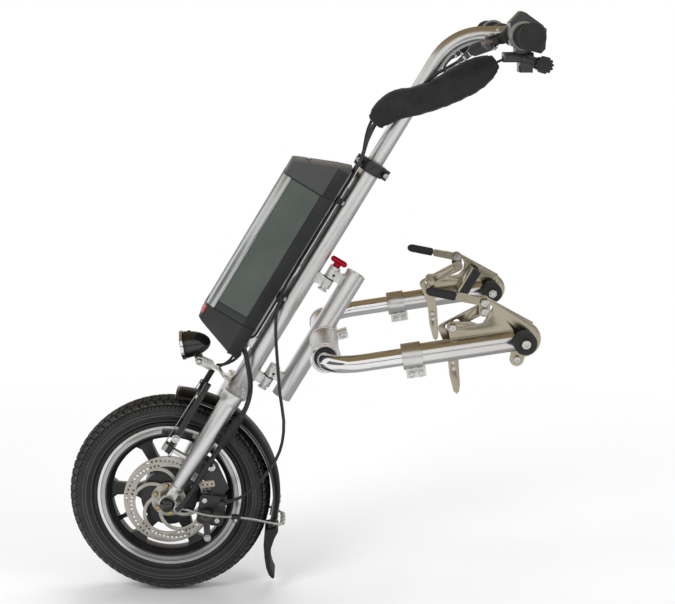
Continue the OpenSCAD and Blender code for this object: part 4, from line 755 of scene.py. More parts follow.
def groove(value, pitch, width):
    """1 in the middle of evenly spaced grooves, 0 on the blocks between them."""
    blur = 0.5
    off = abs((value / pitch) % 1.0 - 0.5) * pitch
    return 1.0 - step(pitch / 2 - off, width / 2 - blur, width / 2 + blur)


def tyre_relief(arc, along):
    """Depth under the tyre's round, with the shares of block top, pale mark and sidewall there; the grooves
    outside the block tops get painted shade.
    """
    out = abs(arc)

    def line(place, core, edge):
        return 1.0 - step(abs(out - place), core, edge)

    odd = round_down((arc + ROW / 2) / ROW) % 2
    cut = groove(along + (ROW / 2 if odd else 0.0) + 0.35 * arc * (1 if odd else -1), BLOCK, 2.4)
    split = groove(arc + ROW / 2, ROW, 1.9)
    depth = 2.0 * (1.0 - step(out, 25.5, 27.0)) * max(cut, split)
    depth += 1.3 * (groove(along, BLOCK / 2, 1.6) * step(out, 27.2, 28.2) * (1.0 - step(out, 31.8, 32.8)))
    depth += 1.5 * line(26.9, 0.5, 1.2)
    for place in SIDE_RIBS:
        depth -= 0.7 * line(place, 0.5, 1.3)
    low = 0.9 * step(out, 33.0, 36.0)
    depth += low
    top = 1.0 - min(1.0, max(0.0, depth - low) / 1.5)
    dash = (1.0 - groove(along, BLOCK, 2.6)) * line(25.2, 0.7, 1.2)
    rib = max(line(place, 0.7, 1.3) for place in SIDE_RIBS)
    return depth, (top, max(dash, 0.4 * rib), step(out, 32.0, 36.0), 1.0)


def make_tyre():
    """Tyre with rows of tread blocks, a notched shoulder and ribs on its smooth sidewalls."""
    across = 96
    rows = []
    colours = []
    for turn in angles(648):
        ring = []
        for j in range(across + 1):
            a = radians(-BEAD_ANGLE + 2 * BEAD_ANGLE * j / across)
            depth, colour = tyre_relief(ARC_R * a, TREAD_R * turn)
            reach = TYRE_MIDDLE + (TYRE_HIGH - depth) * cos(a)
            ring.append(Vector((reach * cos(turn), (TYRE_HALF - depth) * sin(a), reach * sin(turn))))
            colours.append(colour)
        rows.append(ring)
    obj = Shape().skin(rows, WHEEL, loop=True, around=False).piece("tread_tyre", TYRE, "wheel")
    layer = obj.data.color_attributes.new(TREAD_LAYER, "BYTE_COLOR", "POINT")
    for item, colour in zip(layer.data, colours):
        item.color = colour
    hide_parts("tyre")


def make_wheel_fittings():
    """Valve cap, cover and rotor screws, the hub's seal, the tyre's beads and the axle's caps."""
    valve = radians(208.0)
    axis = Vector((cos(valve), 0.0, sin(valve)))
    Shape().lathe([(2.2, -9.0), (3.9, -9.0), (4.1, -8.0), (4.1, 0.5), (3.2, 1.8), (0.4, 2.0)],
                  aim(WHEEL, axis * 73.0, -axis), 18).piece("valve_cap", PLASTIC, "wheel")
    screws = Shape()
    heads = Shape()
    for k in range(6):
        a = radians(30.0 + 60.0 * k)
        screws.socket_bolt(aim(WHEEL, (37.0 * cos(a), 40.0, 37.0 * sin(a)), Y_POS), 3.4, 2.6)
        a = radians(37.0 + 60.0 * k)
        heads.button_bolt(aim(WHEEL, (22.0 * cos(a), -42.5, 22.0 * sin(a)), Y_NEG), 4.3, 1.3)
    screws.piece("hub_screws", STEEL, "wheel")
    heads.piece("rotor_screw_heads", BRASS, "wheel")
    Shape().lathe([(21.6, 42.6), (21.6, 44.2), (19.0, 44.6), (13.0, 44.6), (10.4, 43.0), (10.4, 42.6)],
                  aim(WHEEL, (0, 0, 0), Y_POS), 48).piece("hub_seal", RUBBER, "wheel")
    bead = Shape()
    dome = Shape()
    for s in (-1, 1):
        hub = aim(WHEEL, (0, 0, 0), (0, s, 0))
        bead.ring([(113.05, 18.0), (113.05, 21.7), (114.0, 22.5), (116.4, 23.4), (118.9, 22.8),
                   (117.0, 18.0)], hub, 144)
        dome.lathe([(11.4, 66.0), (11.75, 66.3), (11.75, 68.3), (11.5, 69.9), (10.9, 71.5), (9.9, 73.0),
                    (8.5, 74.3), (6.5, 75.4), (4.2, 76.1), (2.0, 76.4), (0.1, 76.5)], hub, 48)
    bead.piece("tyre_bead", RUBBER, "wheel", "tyre_rubber")
    dome.piece("axle_caps", GLOSS)


make_tyre()
make_wheel_fittings()


# Welds

# Tube round with its weld, and the height and half width of a hinge web on it
WEB_R = 16.2
WEB_HIGH = 15.6
WEB_HALF = 7.0


def ring_path(radius, height, count=140, middle=(0.0, 0.0)):
    """Level circle about a line along the column."""
    return [(middle[0] + radius * cos(a), middle[1] + radius * sin(a), height) for a in angles(count)]


def web_path(middle, toward, low):
    """Rectangle of a flat web laid on a tube's round."""
    top = asin(WEB_HALF / WEB_R)
    high = low + WEB_HIGH
    corners = ((top, high), (-top, high), (-top, low), (top, low), (top, high))
    points = []
    for (a0, z0), (a1, z1), count in zip(corners, corners[1:], (21, 24, 21, 24)):
        for k in range(count):
            a = a0 + (a1 - a0) * k / count
            points.append((middle + toward * WEB_R * cos(a), WEB_R * sin(a), z0 + (z1 - z0) * k / count))
    return points


def make_welds():
    """Beads on the fork's crown, legs and hinge webs, and round the post and its cross sleeve."""
    beads = Shape().bead(ring_path(16.4, 205.6), 1.9)
    for s in (-1, 1):
        leg = (-FORK_OFFSET, LEG_Y * s)
        beads.bead(ring_path(14.7, 187.6, 130, leg), 1.5)
        beads.bead(ring_path(10.6, 31.0, 90, leg), 1.2)
    for low in HINGES:
        beads.bead(web_path(0.0, 1, low), 1.5)
    beads.piece("column_welds", SILVER)
    beads = Shape()
    for low in HINGES:
        beads.bead(web_path(POST_V, -1, low + 16.0), 1.5)
    post_r = 16.1
    sleeve_r = 21.3
    upper = []
    lower = []
    for k in range(120):
        a = radians(128.8 - 257.6 * k / 119)
        v = POST_V + post_r * cos(a)
        rise = sqrt(max(0.0, sleeve_r ** 2 - (v - SLEEVE_V) ** 2))
        upper.append((v, post_r * sin(a), SLEEVE_W + rise))
        lower.append((v, post_r * sin(a), SLEEVE_W - rise))
    beads.bead(upper + lower[::-1], 1.8)
    beads.piece("post_welds", SILVER, "dock_frame")


make_welds()


# Bolts of the frame, the dock and the latches

def make_frame_bolts():
    """Bolts of the stem's clamp, headlight, caliper carrier, rim-brake studs and battery rail."""
    front = Shape()
    for v in (-24.0, 24.0):
        front.socket_bolt(aim(COLUMN, (v, -10.4, 605.0), Y_NEG), 4.2, 3.6)
        front.nut(aim(COLUMN, (v, 10.4, 605.0), Y_POS), 4.0, 3.2)
    for s in (-1, 1):
        front.button_bolt(aim(LAMP, (0.0, 11.3 * s, 0.0), (0, s, 0)), 5.0, 2.6)
    carrier = aim(COLUMN, (25.3, -50.0, 82.0), Y_NEG)
    front.socket_bolt(carrier, 4.6, 4.6)
    front.washer(carrier, 6.2, 3.0, 0.9)
    for s in (-1, 1):
        front.socket_bolt(aim(COLUMN, (-51.6, STUD_Y * s, STUD_W), X_NEG), 5.4, 4.0)
        front.washer(aim(COLUMN, (-50.4, STUD_Y * s, STUD_W), X_NEG), 7.6, 3.0, 1.2)
    for w in (277.0, 409.0, 569.0):
        front.button_bolt(aim(COLUMN, (-26.2, 0.0, w), X_NEG), 3.4, 0.6)
    front.piece("front_bolts", STEEL)


def make_dock_fittings():
    """Clamp bolt of the cross sleeve, seals and washers, dark discs of painted shade for the hinges' holes,
    and polished lips on the sleeve's ends.
    """
    ear = radians(47.0)
    v = SLEEVE_V + 30.0 * cos(ear)
    w = SLEEVE_W + 30.0 * sin(ear)
    clamp = Shape().socket_bolt(aim(COLUMN, (v, -12.9, w), Y_NEG), 5.0, 5.0)
    clamp.nut(aim(COLUMN, (v, 12.9, w), Y_POS), 5.0, 4.6, 3.0)
    clamp.piece("sleeve_clamp_bolt", STEEL, "dock_frame")
    seal = Shape()
    lip = Shape()
    for s in (-1, 1):
        seal.ring([(12.9, 0.0), (12.9, 1.4), (14.4, 1.8), (16.6, 1.4), (17.2, 0.0)],
                  aim(COLUMN, (SLEEVE_V, 134.8 * s, SLEEVE_W), (0, s, 0)), 48)
        lip.tube([(SLEEVE_V + 19.6 * cos(a), 135.0 * s, SLEEVE_W + 19.6 * sin(a)) for a in angles(64)],
                 1.5, COLUMN, 10, True)
    for low in HINGES:
        seal.ring([(9.05, -1.1), (9.7, -0.9), (9.7, 0.9), (9.05, 1.1)],
                  aim(COLUMN, (HINGE_V, 0.0, low + 15.8)), 40)
    # Small dark discs on the hinge knuckles: painted shade standing in for holes there
    for low in HINGES:
        seal.lathe([(2.2, -0.4), (2.2, 0.25), (1.8, 0.4), (0.1, 0.2)],
                   aim(COLUMN, (36.0, -8.2, low + 24.0), (0.4, -1, 0)), 20)
    seal.piece("dock_seals", RUBBER, "dock_frame")
    lip.piece("sleeve_end_lips", CHROME, "dock_frame")


def make_latch_bolts(side, word):
    """Bolts and nuts of one latch on its arm, lever and hook."""
    place = arm_matrix(side)

    def facing(point, y):
        return aim(place, (point[0], y, point[1]), Y_POS if y > 0 else Y_NEG)

    bolts = Shape()
    for a in (120.0, 134.0):
        bolts.socket_bolt(facing((a, -26.0), 9.0), 4.3, 3.4)
        bolts.nut(facing((a, -26.0), -9.0), 4.1, 3.4)
    bolts.button_bolt(facing(LATCH_PIVOT, 11.4), 6.2, 2.8)
    bolts.nut(facing(LATCH_PIVOT, -11.4), 5.4, 4.0, 3.4)
    bolts.button_bolt(facing(GUIDE_PIN, 6.4), 6.2, 2.6)
    bolts.socket_bolt(facing(ROLLER, 36.8), 6.4, 4.6)
    bolts.nut(facing(ROLLER, -46.8), 6.4, 5.0, 4.4)
    bolts.socket_bolt(facing(LUG, 2.5), 4.6, 4.0)
    bolts.nut(facing(LUG, -2.5), 4.4, 3.6, 2.6)
    bolts.piece("latch_bolts_" + word, STEEL, "arm_" + word)
    crank = Shape().button_bolt(facing(LATCH_CRANK, 9.3), 5.8, 2.4)
    crank.piece("crank_bolt_" + word, STEEL, "latch_lever_" + word)
    rivets = Shape()
    for b in (-24.0, -33.0):
        rivets.lathe([(2.35, -0.1), (2.35, 3.9), (3.9, 4.0), (3.9, 5.0), (2.8, 6.0), (0.1, 6.2)],
                     facing((182.0, b), -16.6), 24)
    rivets.piece("hook_rivets_" + word, STEEL, "latch_hook_" + word)


make_frame_bolts()
make_dock_fittings()
for side, word in SIDES:
    make_latch_bolts(side, word)


# Battery

BATTERY_FRONT = -111.85
BATTERY_HALF = 46.0
BATTERY_CORNER = 13.0
# Start of the rear chamfer on the side, and its end at the back
CHAMFER_V = -46.9
CHAMFER_TO = (-25.9, 31.0)
# Height of the case between its seams, and the run of the plates on its flat sides
CASE_LOW = 300.9
CASE_HIGH = 531.4
PLATE_V = (-98.4, -48.4)


def corner_strip(shape, side, low, high, a0, a1, out):
    """Thin strip on the battery's rounded front corner, from angle a0 to a1 off the front."""
    steps = 10
    section = []
    up = range(steps + 1)
    for r, numbers in ((BATTERY_CORNER + out, up), (BATTERY_CORNER - 0.1, reversed(up))):
        for k in numbers:
            a = radians(a0 + (a1 - a0) * k / steps)
            section.append((BATTERY_FRONT + BATTERY_CORNER - r * cos(a),
                            side * (BATTERY_HALF - BATTERY_CORNER + r * sin(a))))
    shape.prism(section, low, high, COLUMN)


def side_plate(shape, side, w0, w1, proud):
    """Raised plate with rounded corners on the battery's flat side."""
    v0, v1 = PLATE_V
    soft = 0.5
    rings = []
    for g, h in ((0.0, -0.4), (0.0, proud - soft), (0.3 * soft, proud - 0.3 * soft), (soft, proud)):
        rings.append([Vector(((v0 + v1) / 2 + x * (1 - 2 * g / (v1 - v0)), side * (BATTERY_HALF + h),
                              (w0 + w1) / 2 + y * (1 - 2 * g / (w1 - w0))))
                      for x, y in rounded(v1 - v0, w1 - w0, 3.0)])
    shape.skin(rings, COLUMN)


def rear_band(shape, side, low, high):
    """Thin plate on the battery's rear chamfer."""
    a = Vector((-46.2, 45.5 * side))
    b = Vector((-26.6, 31.5 * side))
    out = Vector((14.0, 19.6 * side)).normalized()
    shape.prism([q + out * h for q, h in ((a, -0.3), (b, -0.3), (b, 0.5), (a, 0.5))], low, high, COLUMN)


def dense(points, gap=2.0):
    """Closed outline with extra points on its long sides."""
    out = []
    for (x0, y0), (x1, y1) in zip(points, points[1:] + points[:1]):
        count = max(1, int(hypot(x1 - x0, y1 - y0) / gap))
        for k in range(count):
            out.append((x0 + (x1 - x0) * k / count, y0 + (y1 - y0) * k / count))
    return out


def battery_outline(grow):
    """Battery's section as points, grown by a little."""
    half = BATTERY_HALF + grow
    r = BATTERY_CORNER + grow
    left = []
    for k in range(9):
        a = radians(90.0 * (8 - k) / 8)
        left.append((BATTERY_FRONT - grow + r * (1 - sin(a)), -half + r * (1 - cos(a))))
    edge = CHAMFER_V + grow * 0.3
    back = CHAMFER_TO[0] + grow
    side = [(edge, -half), (back, -CHAMFER_TO[1]), (back, CHAMFER_TO[1]), (edge, half)]
    return dense(left + side + [(v, -y) for v, y in reversed(left)])


def make_battery():
    """Side panels, strips, trim, a painted highlight band on each front corner, rear bands, seams,
    reflectors, port, lock and lights.
    """
    panel = Shape()
    strip = Shape()
    trim = Shape()
    band = Shape()
    rear = Shape()
    mark = Shape()
    for s in (-1, 1):
        side_plate(panel, s, 314.0, 530.6, 0.8)
        side_plate(strip, s, 301.2, 312.6, 0.6)
        corner_strip(trim, s, CASE_LOW, CASE_HIGH, 84.0, 89.0, 0.9)
        # Painted highlight: a bright metal band over the rounded front corner
        corner_strip(band, s, CASE_LOW, CASE_HIGH, 6.0, 82.0, 0.4)
        for low, high in ((250.0, 299.2), (300.8, 531.2), (532.8, 580.0)):
            rear_band(rear, s, low, high)
        corner_strip(mark, s, 284.0, 297.0, 4.0, 40.0, 0.7)
    panel.piece("battery_panels", PANEL)
    strip.piece("battery_lower_strips", DARK)
    trim.piece("battery_trim", STEEL, bevel=0.0002)
    band.piece("battery_corner_highlights", PAINTED_CORNER_HIGHLIGHT, bevel=0.0002)
    rear.piece("battery_rear_bands", CASE, bevel=0.0003)
    seams = Shape()
    for w in (299.9, 532.0):
        seams.tube([(v, y, w) for v, y in battery_outline(0.25)], 0.55, COLUMN, 6, True)
    seams.piece("battery_seams", RUBBER)
    mark.piece("battery_side_reflectors", RED_PLASTIC, bevel=0.0003)
    spot = aim(COLUMN, (-70.0, 45.9, 284.0), Y_POS)
    port = Shape().lathe([(9.2, -0.4), (9.2, 1.0), (8.4, 1.6), (6.4, 1.7), (6.0, 1.3), (1.8, 1.2), (1.4, 1.9),
                          (0.1, 2.0)], spot, 36)
    port.prism([(8.0, -2.6), (14.0, -2.2), (15.2, 0.0), (14.0, 2.2), (8.0, 2.6)], -0.4, 1.2, spot, 0.4)
    port.piece("charge_port_cover", RUBBER)
    spot = aim(COLUMN, (-60.0, 45.9, 545.0), Y_POS)
    lock = Shape().lathe([(8.0, -0.4), (8.0, 1.2), (7.4, 1.8), (5.6, 1.8), (5.4, 1.1), (0.1, 1.1)], spot, 36)
    lock.prism(rounded(1.4, 6.4, 0.6, 3), 0.8, 1.5, spot)
    lock.piece("battery_key_lock", STEEL)
    slope = atan2(36.0, 86.0)
    back = 24.0
    v = BATTERY_FRONT + back
    w = 554.0 + back * tan(slope)
    up = (-sin(slope), 0.0, cos(slope))
    lights = Shape()
    for k in range(4):
        lights.lathe([(1.7, -0.3), (1.7, 0.4), (1.2, 0.9), (0.1, 1.0)],
                     aim(COLUMN, (v, -12.0 + 6.0 * k, w), up), 16)
    lights.lathe([(4.4, -0.3), (4.4, 0.7), (3.8, 1.2), (0.1, 1.3)], aim(COLUMN, (v, 16.0, w), up), 28)
    lights.piece("charge_lights", GLOSS)


make_battery()


# Headlight

def make_headlight():
    """Bezel, bowl, diode and body seam of the headlight."""
    front = aim(LAMP, (-24.0, 0.0, LAMP_RISE), X_NEG)
    bezel = Shape().ring([(22.7, -4.6), (23.1, -4.0), (23.1, -0.2), (22.6, 0.5), (21.4, 0.6), (21.2, -0.4),
                          (21.2, -2.0)], front, 64, loop=False)
    bezel.piece("lamp_bezel", CHROME, "headlight")
    bowl = Shape().ring([(20.6, -3.2), (19.6, -6.0), (17.0, -11.0), (13.0, -16.0), (8.0, -19.6),
                         (5.0, -21.0)], front, 48, loop=False)
    bowl.piece("lamp_reflector", CHROME, "headlight")
    led = Shape().prism(rounded(9.0, 9.0, 1.2, 4), -21.4, -20.2, front, 0.3)
    led.lathe([(3.2, -20.3), (3.2, -19.4), (2.6, -18.2), (1.4, -17.4), (0.1, -17.2)], front, 24)
    led.piece("lamp_diode", LENS, "headlight")
    seam = Shape()
    for x, wide in ((-16.5, 0.5), (-14.9, 0.35)):
        r = 21.2 * sqrt(1 - ((x + 18.0) / 40.0) ** 2) + 0.2
        seam.tube([(x, r * sin(a), LAMP_RISE + r * cos(a)) for a in angles(72)], wide, LAMP, 6, True)
    seam.lathe([(2.6, -0.4), (2.6, 0.8), (1.8, 1.4), (0.1, 1.5)],
               aim(LAMP, (-9.0, 0.0, 47.6), (0.1, 0, 1)), 20)
    seam.piece("lamp_seam", GLOSS, "headlight")


make_headlight()


# Cockpit

def make_grip(s, word):
    """Ribs and end of one hand grip, with the collar at its inner end."""
    ribs = Shape()
    for k in range(13):
        y = 184.0 + 5.1 * k
        r = 16.2 + 0.75 * sin(pi * k / 12.0)
        ribs.tube([(r * cos(a), s * y, r * sin(a)) for a in angles(60)], 1.25, BARS, 6, True)
    ribs.lathe([(16.6, -0.6), (16.6, 0.5), (15.8, 0.9), (14.0, 0.9), (13.6, 0.3), (6.0, 0.3), (5.4, 0.8),
                (0.1, 0.9)], aim(BARS, (0.0, s * 262.6, 0.0), (0, s, 0)), 48)
    ribs.piece("grip_ribs_" + word, RUBBER)
    collar = Shape().ring([(17.3, 18.0), (18.6, 17.6), (19.4, 13.0), (19.8, 4.0), (20.6, 2.6), (20.6, -0.6),
                           (20.0, -1.2), (17.3, -1.2)], aim(BARS, (0.0, s * 173.0, 0.0), (0, s, 0)), 56)
    collar.piece("grip_collar_" + word, COLLAR_GREY)


def make_perch(s, word):
    """Screws of one lever perch, and the ferrules and barrel where its cable starts."""
    place = frame_matrix(BAR, -LEVER_DIP, s)
    bolts = Shape().button_bolt(aim(place, (-34.0, 96.0, 9.0), Z_POS), 5.4, 2.4)
    bolts.nut(aim(place, (-34.0, 96.0, -9.0), Z_NEG), 4.4, 3.0)
    bolts.socket_bolt(aim(place, (-19.0, 69.0, 11.6), Z_POS), 3.6, 3.4)
    bolts.button_bolt(aim(place, (-47.0, 59.9, -6.0), Y_NEG), 3.4, 1.8)
    bolts.piece("perch_bolts_" + word, STEEL)
    dip = radians(22.0)
    along = Vector((-cos(dip), 0.0, -sin(dip)))
    root = Vector((-60.0, 68.0, -7.0))
    bore = 4.55
    ferrule = Shape()
    for reach, r, wide in ((9.0, 5.6, 1.8), (17.2, 5.2, 3.4)):
        ferrule.ring([(bore, 0.0), (r - 0.3, 0.0), (r, 0.3), (r, wide - 0.3), (r - 0.3, wide), (bore, wide)],
                     aim(place, root + along * reach, along), 28)
    ferrule.piece("cable_ferrules_" + word, STEEL)
    start = aim(place, root, along)
    barrel = Shape().skin([[p + Vector((0.0, 0.0, z)) for p in knurled(5.0 + grow, 0.45, 40)]
                           for z, grow in ((11.4, -0.4), (11.9, 0.0), (16.2, 0.0), (16.8, -0.4))], start)
    barrel.lathe([(3.7, 19.6), (3.7, 24.0), (3.1, 26.0), (2.7, 30.0), (2.62, 30.4)], start, 20)
    barrel.piece("cable_barrel_" + word, GRAPHITE)


def make_controls():
    """Display's glass and frame, and the keys of the switch box."""
    face = frame_matrix(DISPLAY, DISPLAY_TILT)
    glass = Shape().prism(rounded(29.4, 31.4, 2.4), -1.1, 0.5, face, 0.4)
    glass.piece("display_glass", display_glass(), slot="black_plastic")

    def level(outline, z, grow=1.0):
        return [Vector((x * grow, y * grow, z)) for x, y in outline]

    outer = rounded(34.0, 36.0, 4.0)
    inner = rounded(29.8, 31.8, 2.6)
    Shape().skin([level(inner, 0.0), level(inner, 1.0), level(outer, 1.3, 0.99), level(outer, 0.7),
                  level(outer, -0.6)], face, caps=False).piece("display_frame", DARK)
    keys = Shape()
    for y in (-160.0, -152.0):
        keys.prism(rounded(8.0, 5.0, 1.6, 4), -0.6, 1.4, aim(BARS, (15.9, y, -29.5), X_POS), 0.6)
    keys.piece("switch_keys", RUBBER)


for side, word in SIDES:
    make_grip(side, word)
    make_perch(side, word)
make_controls()


# Brakes

def make_rim_brake(s, word):
    """Springs, bolts and washers of one rim-brake arm, and the blocks of its shoe."""
    place = mirrored(COLUMN, s)
    rim = Shape()
    spring = ((-43.0, -50.0, 66.0), (-39.0, -45.0, 62.0), (-38.0, -41.0, 70.0), (-40.0, -42.0, 96.0),
              (-41.0, -43.0, 124.0), (-43.0, -45.0, 138.0))
    rim.tube(smooth_path(spring, 8), 0.8, place, 8)
    rim.lathe([(7.6, 0.0), (7.6, 1.0), (5.4, 1.2), (5.2, 3.0), (0.1, 3.2)],
              aim(place, (-50.4, -STUD_Y, STUD_W), X_NEG), 28)
    shoe_v = -45.5
    shoe_w = 95.0
    rim.socket_bolt(aim(place, (shoe_v, -57.4, shoe_w), Y_NEG), 4.6, 4.4)
    rim.washer(aim(place, (shoe_v, -55.6, shoe_w), Y_NEG), 6.6, 3.2, 1.6)
    anchor = aim(place, (-50.2, -47.0, 168.0), X_NEG)
    rim.socket_bolt(anchor, 4.0, 3.4)
    coil = []
    for k in range(60):
        a = tau * k / 20
        coil.append((-52.4 - 1.2 * k / 20, -STUD_Y + 7.4 * cos(a), STUD_W + 7.4 * sin(a)))
    rim.tube(coil, 0.75, place, 6)
    wire = (coil[-1], (-55.4, -45.4, 92.0), (-54.6, -44.6, 120.0), (-53.6, -43.8, 150.0),
            (-52.6, -43.4, 172.0))
    rim.tube(smooth_path(wire, 8), 0.85, place, 8)
    rim.washer(anchor, 5.6, 3.0, 0.9)
    rim.piece("rim_brake_fittings_" + word, STEEL, "rim_brake_" + word)
    tilt = Matrix.Translation((shoe_v, 0.0, shoe_w)) @ Matrix.Rotation(radians(-23.0), 4, "Y")
    face = Matrix.Rotation(radians(90.0), 4, "X")
    block = Shape()
    for x in (-17.0, -6.0, 5.0, 16.0):
        spot = place @ tilt @ Matrix.Translation((x, -32.5, 0.0)) @ face
        block.prism(rounded(6.4, 6.4, 1.0, 3), 0.0, 0.9, spot, 0.3)
    block.piece("brake_shoe_blocks_" + word, RUBBER, "rim_brake_" + word)


def make_caliper():
    """Bolts, pad dial, arm boss with its ridges, shim plate with dark discs of painted shade for its holes,
    and cable clamp of the disc brake.
    """
    bolts = Shape()
    bolts.socket_bolt(aim(CALIPER, (80.0, -59.9, -14.0), Y_NEG), 4.2, 4.0)
    bolts.socket_bolt(aim(CALIPER, (56.0, -59.9, 15.0), Y_NEG), 4.2, 4.0)
    bolts.socket_bolt(aim(CALIPER, (80.0, -28.1, -14.0), Y_POS), 4.2, 3.0)
    bolts.piece("caliper_bolts", STEEL)
    n = 48
    ring = knurled(6.6, 0.5, n)
    lift = Vector(Z_POS)
    dial = Shape().skin([ring, [p + lift * 1.8 for p in ring], [p * 0.9 + lift * 2.4 for p in ring],
                         circle(3.4, n, 2.4), hexagon(2.4, n, 2.4), hexagon(2.3, n, 0.6),
                         circle(0.05, n, 0.5)], aim(CALIPER, (62.0, -68.4, -8.0), Y_NEG))
    dial.piece("caliper_dial", GRAPHITE, "caliper_arm")
    boss = Shape().ring([(8.05, -0.4), (9.6, -0.4), (10.0, 0.2), (10.0, 2.4), (9.5, 3.0), (8.05, 3.0)],
                        aim(CALIPER, (62.0, -64.4, -8.0), Y_NEG), 40)
    for k in range(14):
        boss.prism(rounded(1.2, 3.0, 0.4, 3), 0.0, 0.7,
                   aim(CALIPER, (62.6 + 0.38 * k, -64.2, -20.0 - 1.3 * k), Y_NEG), 0.2)
    boss.piece("caliper_arm_boss", CAST_BLACK, "caliper_arm")
    spot = aim(COLUMN, (33.6, -50.0, 55.5), Y_NEG) @ Matrix.Rotation(radians(-52.0), 4, "Z")
    plate = Shape().prism(rounded(11.0, 23.0, 2.4, 4), -0.2, 1.4, spot, 0.3)
    plate.piece("caliper_shim_plate", PAD_PLATE)
    # Dark discs on the shim plate: painted shade standing in for its three holes
    hole_shade = Shape()
    for y in (-7.0, 0.0, 7.0):
        hole_shade.lathe([(1.5, -0.1), (1.5, 0.15), (1.2, 0.2), (0.1, 0.1)],
                    spot @ Matrix.Translation((0.0, y, 1.4)), 16)
    hole_shade.piece("caliper_shim_hole_shade", RUBBER, slot="black_casting")
    end = aim(CALIPER, (70.0, -64.4, -44.0), Y_NEG)
    clamp = Shape().socket_bolt(end, 4.0, 3.6)
    clamp.washer(end, 5.4, 3.0, 1.0)
    clamp.piece("caliper_clamp_bolt", STEEL, "caliper_arm")


for side, word in SIDES:
    make_rim_brake(side, word)
make_caliper()


# Cable sleeve

SLEEVE_SPINE = ((-34, -26, 664), (-29, -27, 684), (-18, -29, 706), (2, -30.5, 728), (22, -30.5, 752),
                (40, -30, 778), (56, -29, 804), (68, -28, 826), (74, -27, 838))
SLEEVE_HIGH = (13, 21, 25, 26, 27, 28, 26, 19, 10)
SLEEVE_WIDE = (8, 13, 15, 16, 16, 16, 15, 13, 7)
# The sleeve lies against the stem's round here
STEM_SIDE = -13.0
# Frames that the cloth settles over
CLOTH_FRAMES = 20


def sleeve_rings(grow, n=32, steps=5):
    """Rings of the sleeve in the column's frame, grown by a little."""
    spine = smooth_path(SLEEVE_SPINE, steps)
    sizes = smooth_path([(h, w, 0.0) for h, w in zip(SLEEVE_HIGH, SLEEVE_WIDE)], steps)
    last = len(spine) - 1
    rings = []
    for i, (middle, size) in enumerate(zip(spine, sizes)):
        t = (spine[min(i + 1, last)] - spine[max(i - 1, 0)]).normalized()
        e = t.cross(Vector((0.0, 1.0, 0.0))).normalized()
        f = t.cross(e)
        ring = []
        for a in angles(n):
            point = middle + e * (size.x + grow) * cos(a) + f * (size.y + grow) * sin(a)
            point.y = min(point.y, STEM_SIDE)
            ring.append(point)
        rings.append(ring)
    return rings


def evaluated_mesh(obj):
    """Mesh of an object with its modifiers applied."""
    graph = bpy.context.evaluated_depsgraph_get()
    return bpy.data.meshes.new_from_object(obj.evaluated_get(graph))


def puff(obj, cap):
    """Swells a closed mesh as filled cloth, and keeps each point within cap of its start."""
    start = [v.co.copy() for v in obj.data.vertices]
    cloth = obj.modifiers.new("cloth", "CLOTH")
    cloth.settings.quality = 5
    cloth.settings.mass = 0.3
    cloth.settings.tension_stiffness = 12.0
    cloth.settings.compression_stiffness = 12.0
    cloth.settings.bending_stiffness = 0.6
    cloth.settings.use_pressure = True
    cloth.settings.uniform_pressure_force = 4.0
    cloth.settings.effector_weights.gravity = 0.0
    cloth.collision_settings.use_collision = False
    cloth.point_cache.frame_start = 1
    cloth.point_cache.frame_end = CLOTH_FRAMES
    for number in range(1, CLOTH_FRAMES + 1):
        bpy.context.scene.frame_set(number)
    swollen = evaluated_mesh(obj)
    for v, old in zip(swollen.vertices, start):
        move = v.co - old
        if move.length > cap:
            v.co = old + move * (cap / move.length)
    obj.modifiers.remove(cloth)
    obj.data = swollen
    bpy.context.scene.frame_set(1)


def fold_depth(local, spine):
    """Shallow creases across the sleeve where it bends, deeper on its lower side."""
    near = min(range(len(spine)), key=lambda i: (spine[i] - local).length_squared)
    along = near + 0.5 * (local.z - spine[near].z) / 5.0
    lower = step(local.x - spine[near].x, -8.0, 14.0)
    wave = sin(along * 1.9 + 0.05 * local.y) + 0.6 * sin(along * 3.1 + 1.3)
    return (0.12 + 0.3 * lower) * wave - 0.5


def make_sleeve():
    """Neoprene sleeve: a padded tube swelled as cloth, with hems, a flat seam and its stitches."""
    obj = Shape().skin(sleeve_rings(-0.6), COLUMN).object("neoprene_sleeve")
    remesh = obj.modifiers.new("remesh", "REMESH")
    remesh.mode = "VOXEL"
    remesh.voxel_size = 0.004
    even = evaluated_mesh(obj)
    obj.modifiers.remove(remesh)
    obj.data = even
    puff(obj, 0.005)
    spine = smooth_path(SLEEVE_SPINE, 5)
    place = COLUMN.inverted()
    for v in obj.data.vertices:
        local = place @ v.co
        fold = fold_depth(local, spine)
        towards = min(spine, key=lambda q: (q - local).length_squared) - local
        local += towards.normalized() * fold
        local.y = min(local.y, STEM_SIDE)
        v.co = COLUMN @ local
    smooth = obj.modifiers.new("smooth", "SMOOTH")
    smooth.factor = 0.4
    smooth.iterations = 1
    fine = obj.modifiers.new("fine", "SUBSURF")
    fine.levels = 1
    fine.render_levels = 1
    final = evaluated_mesh(obj)
    obj.modifiers.clear()
    obj.data = final
    for face in final.polygons:
        face.use_smooth = True
    final.materials.clear()
    final.materials.append(NEOPRENE)
    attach(obj, "front_frame")
    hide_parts("cable_sleeve")
    make_seams(BVHTree.FromPolygons([v.co for v in final.vertices], [f.vertices for f in final.polygons]))


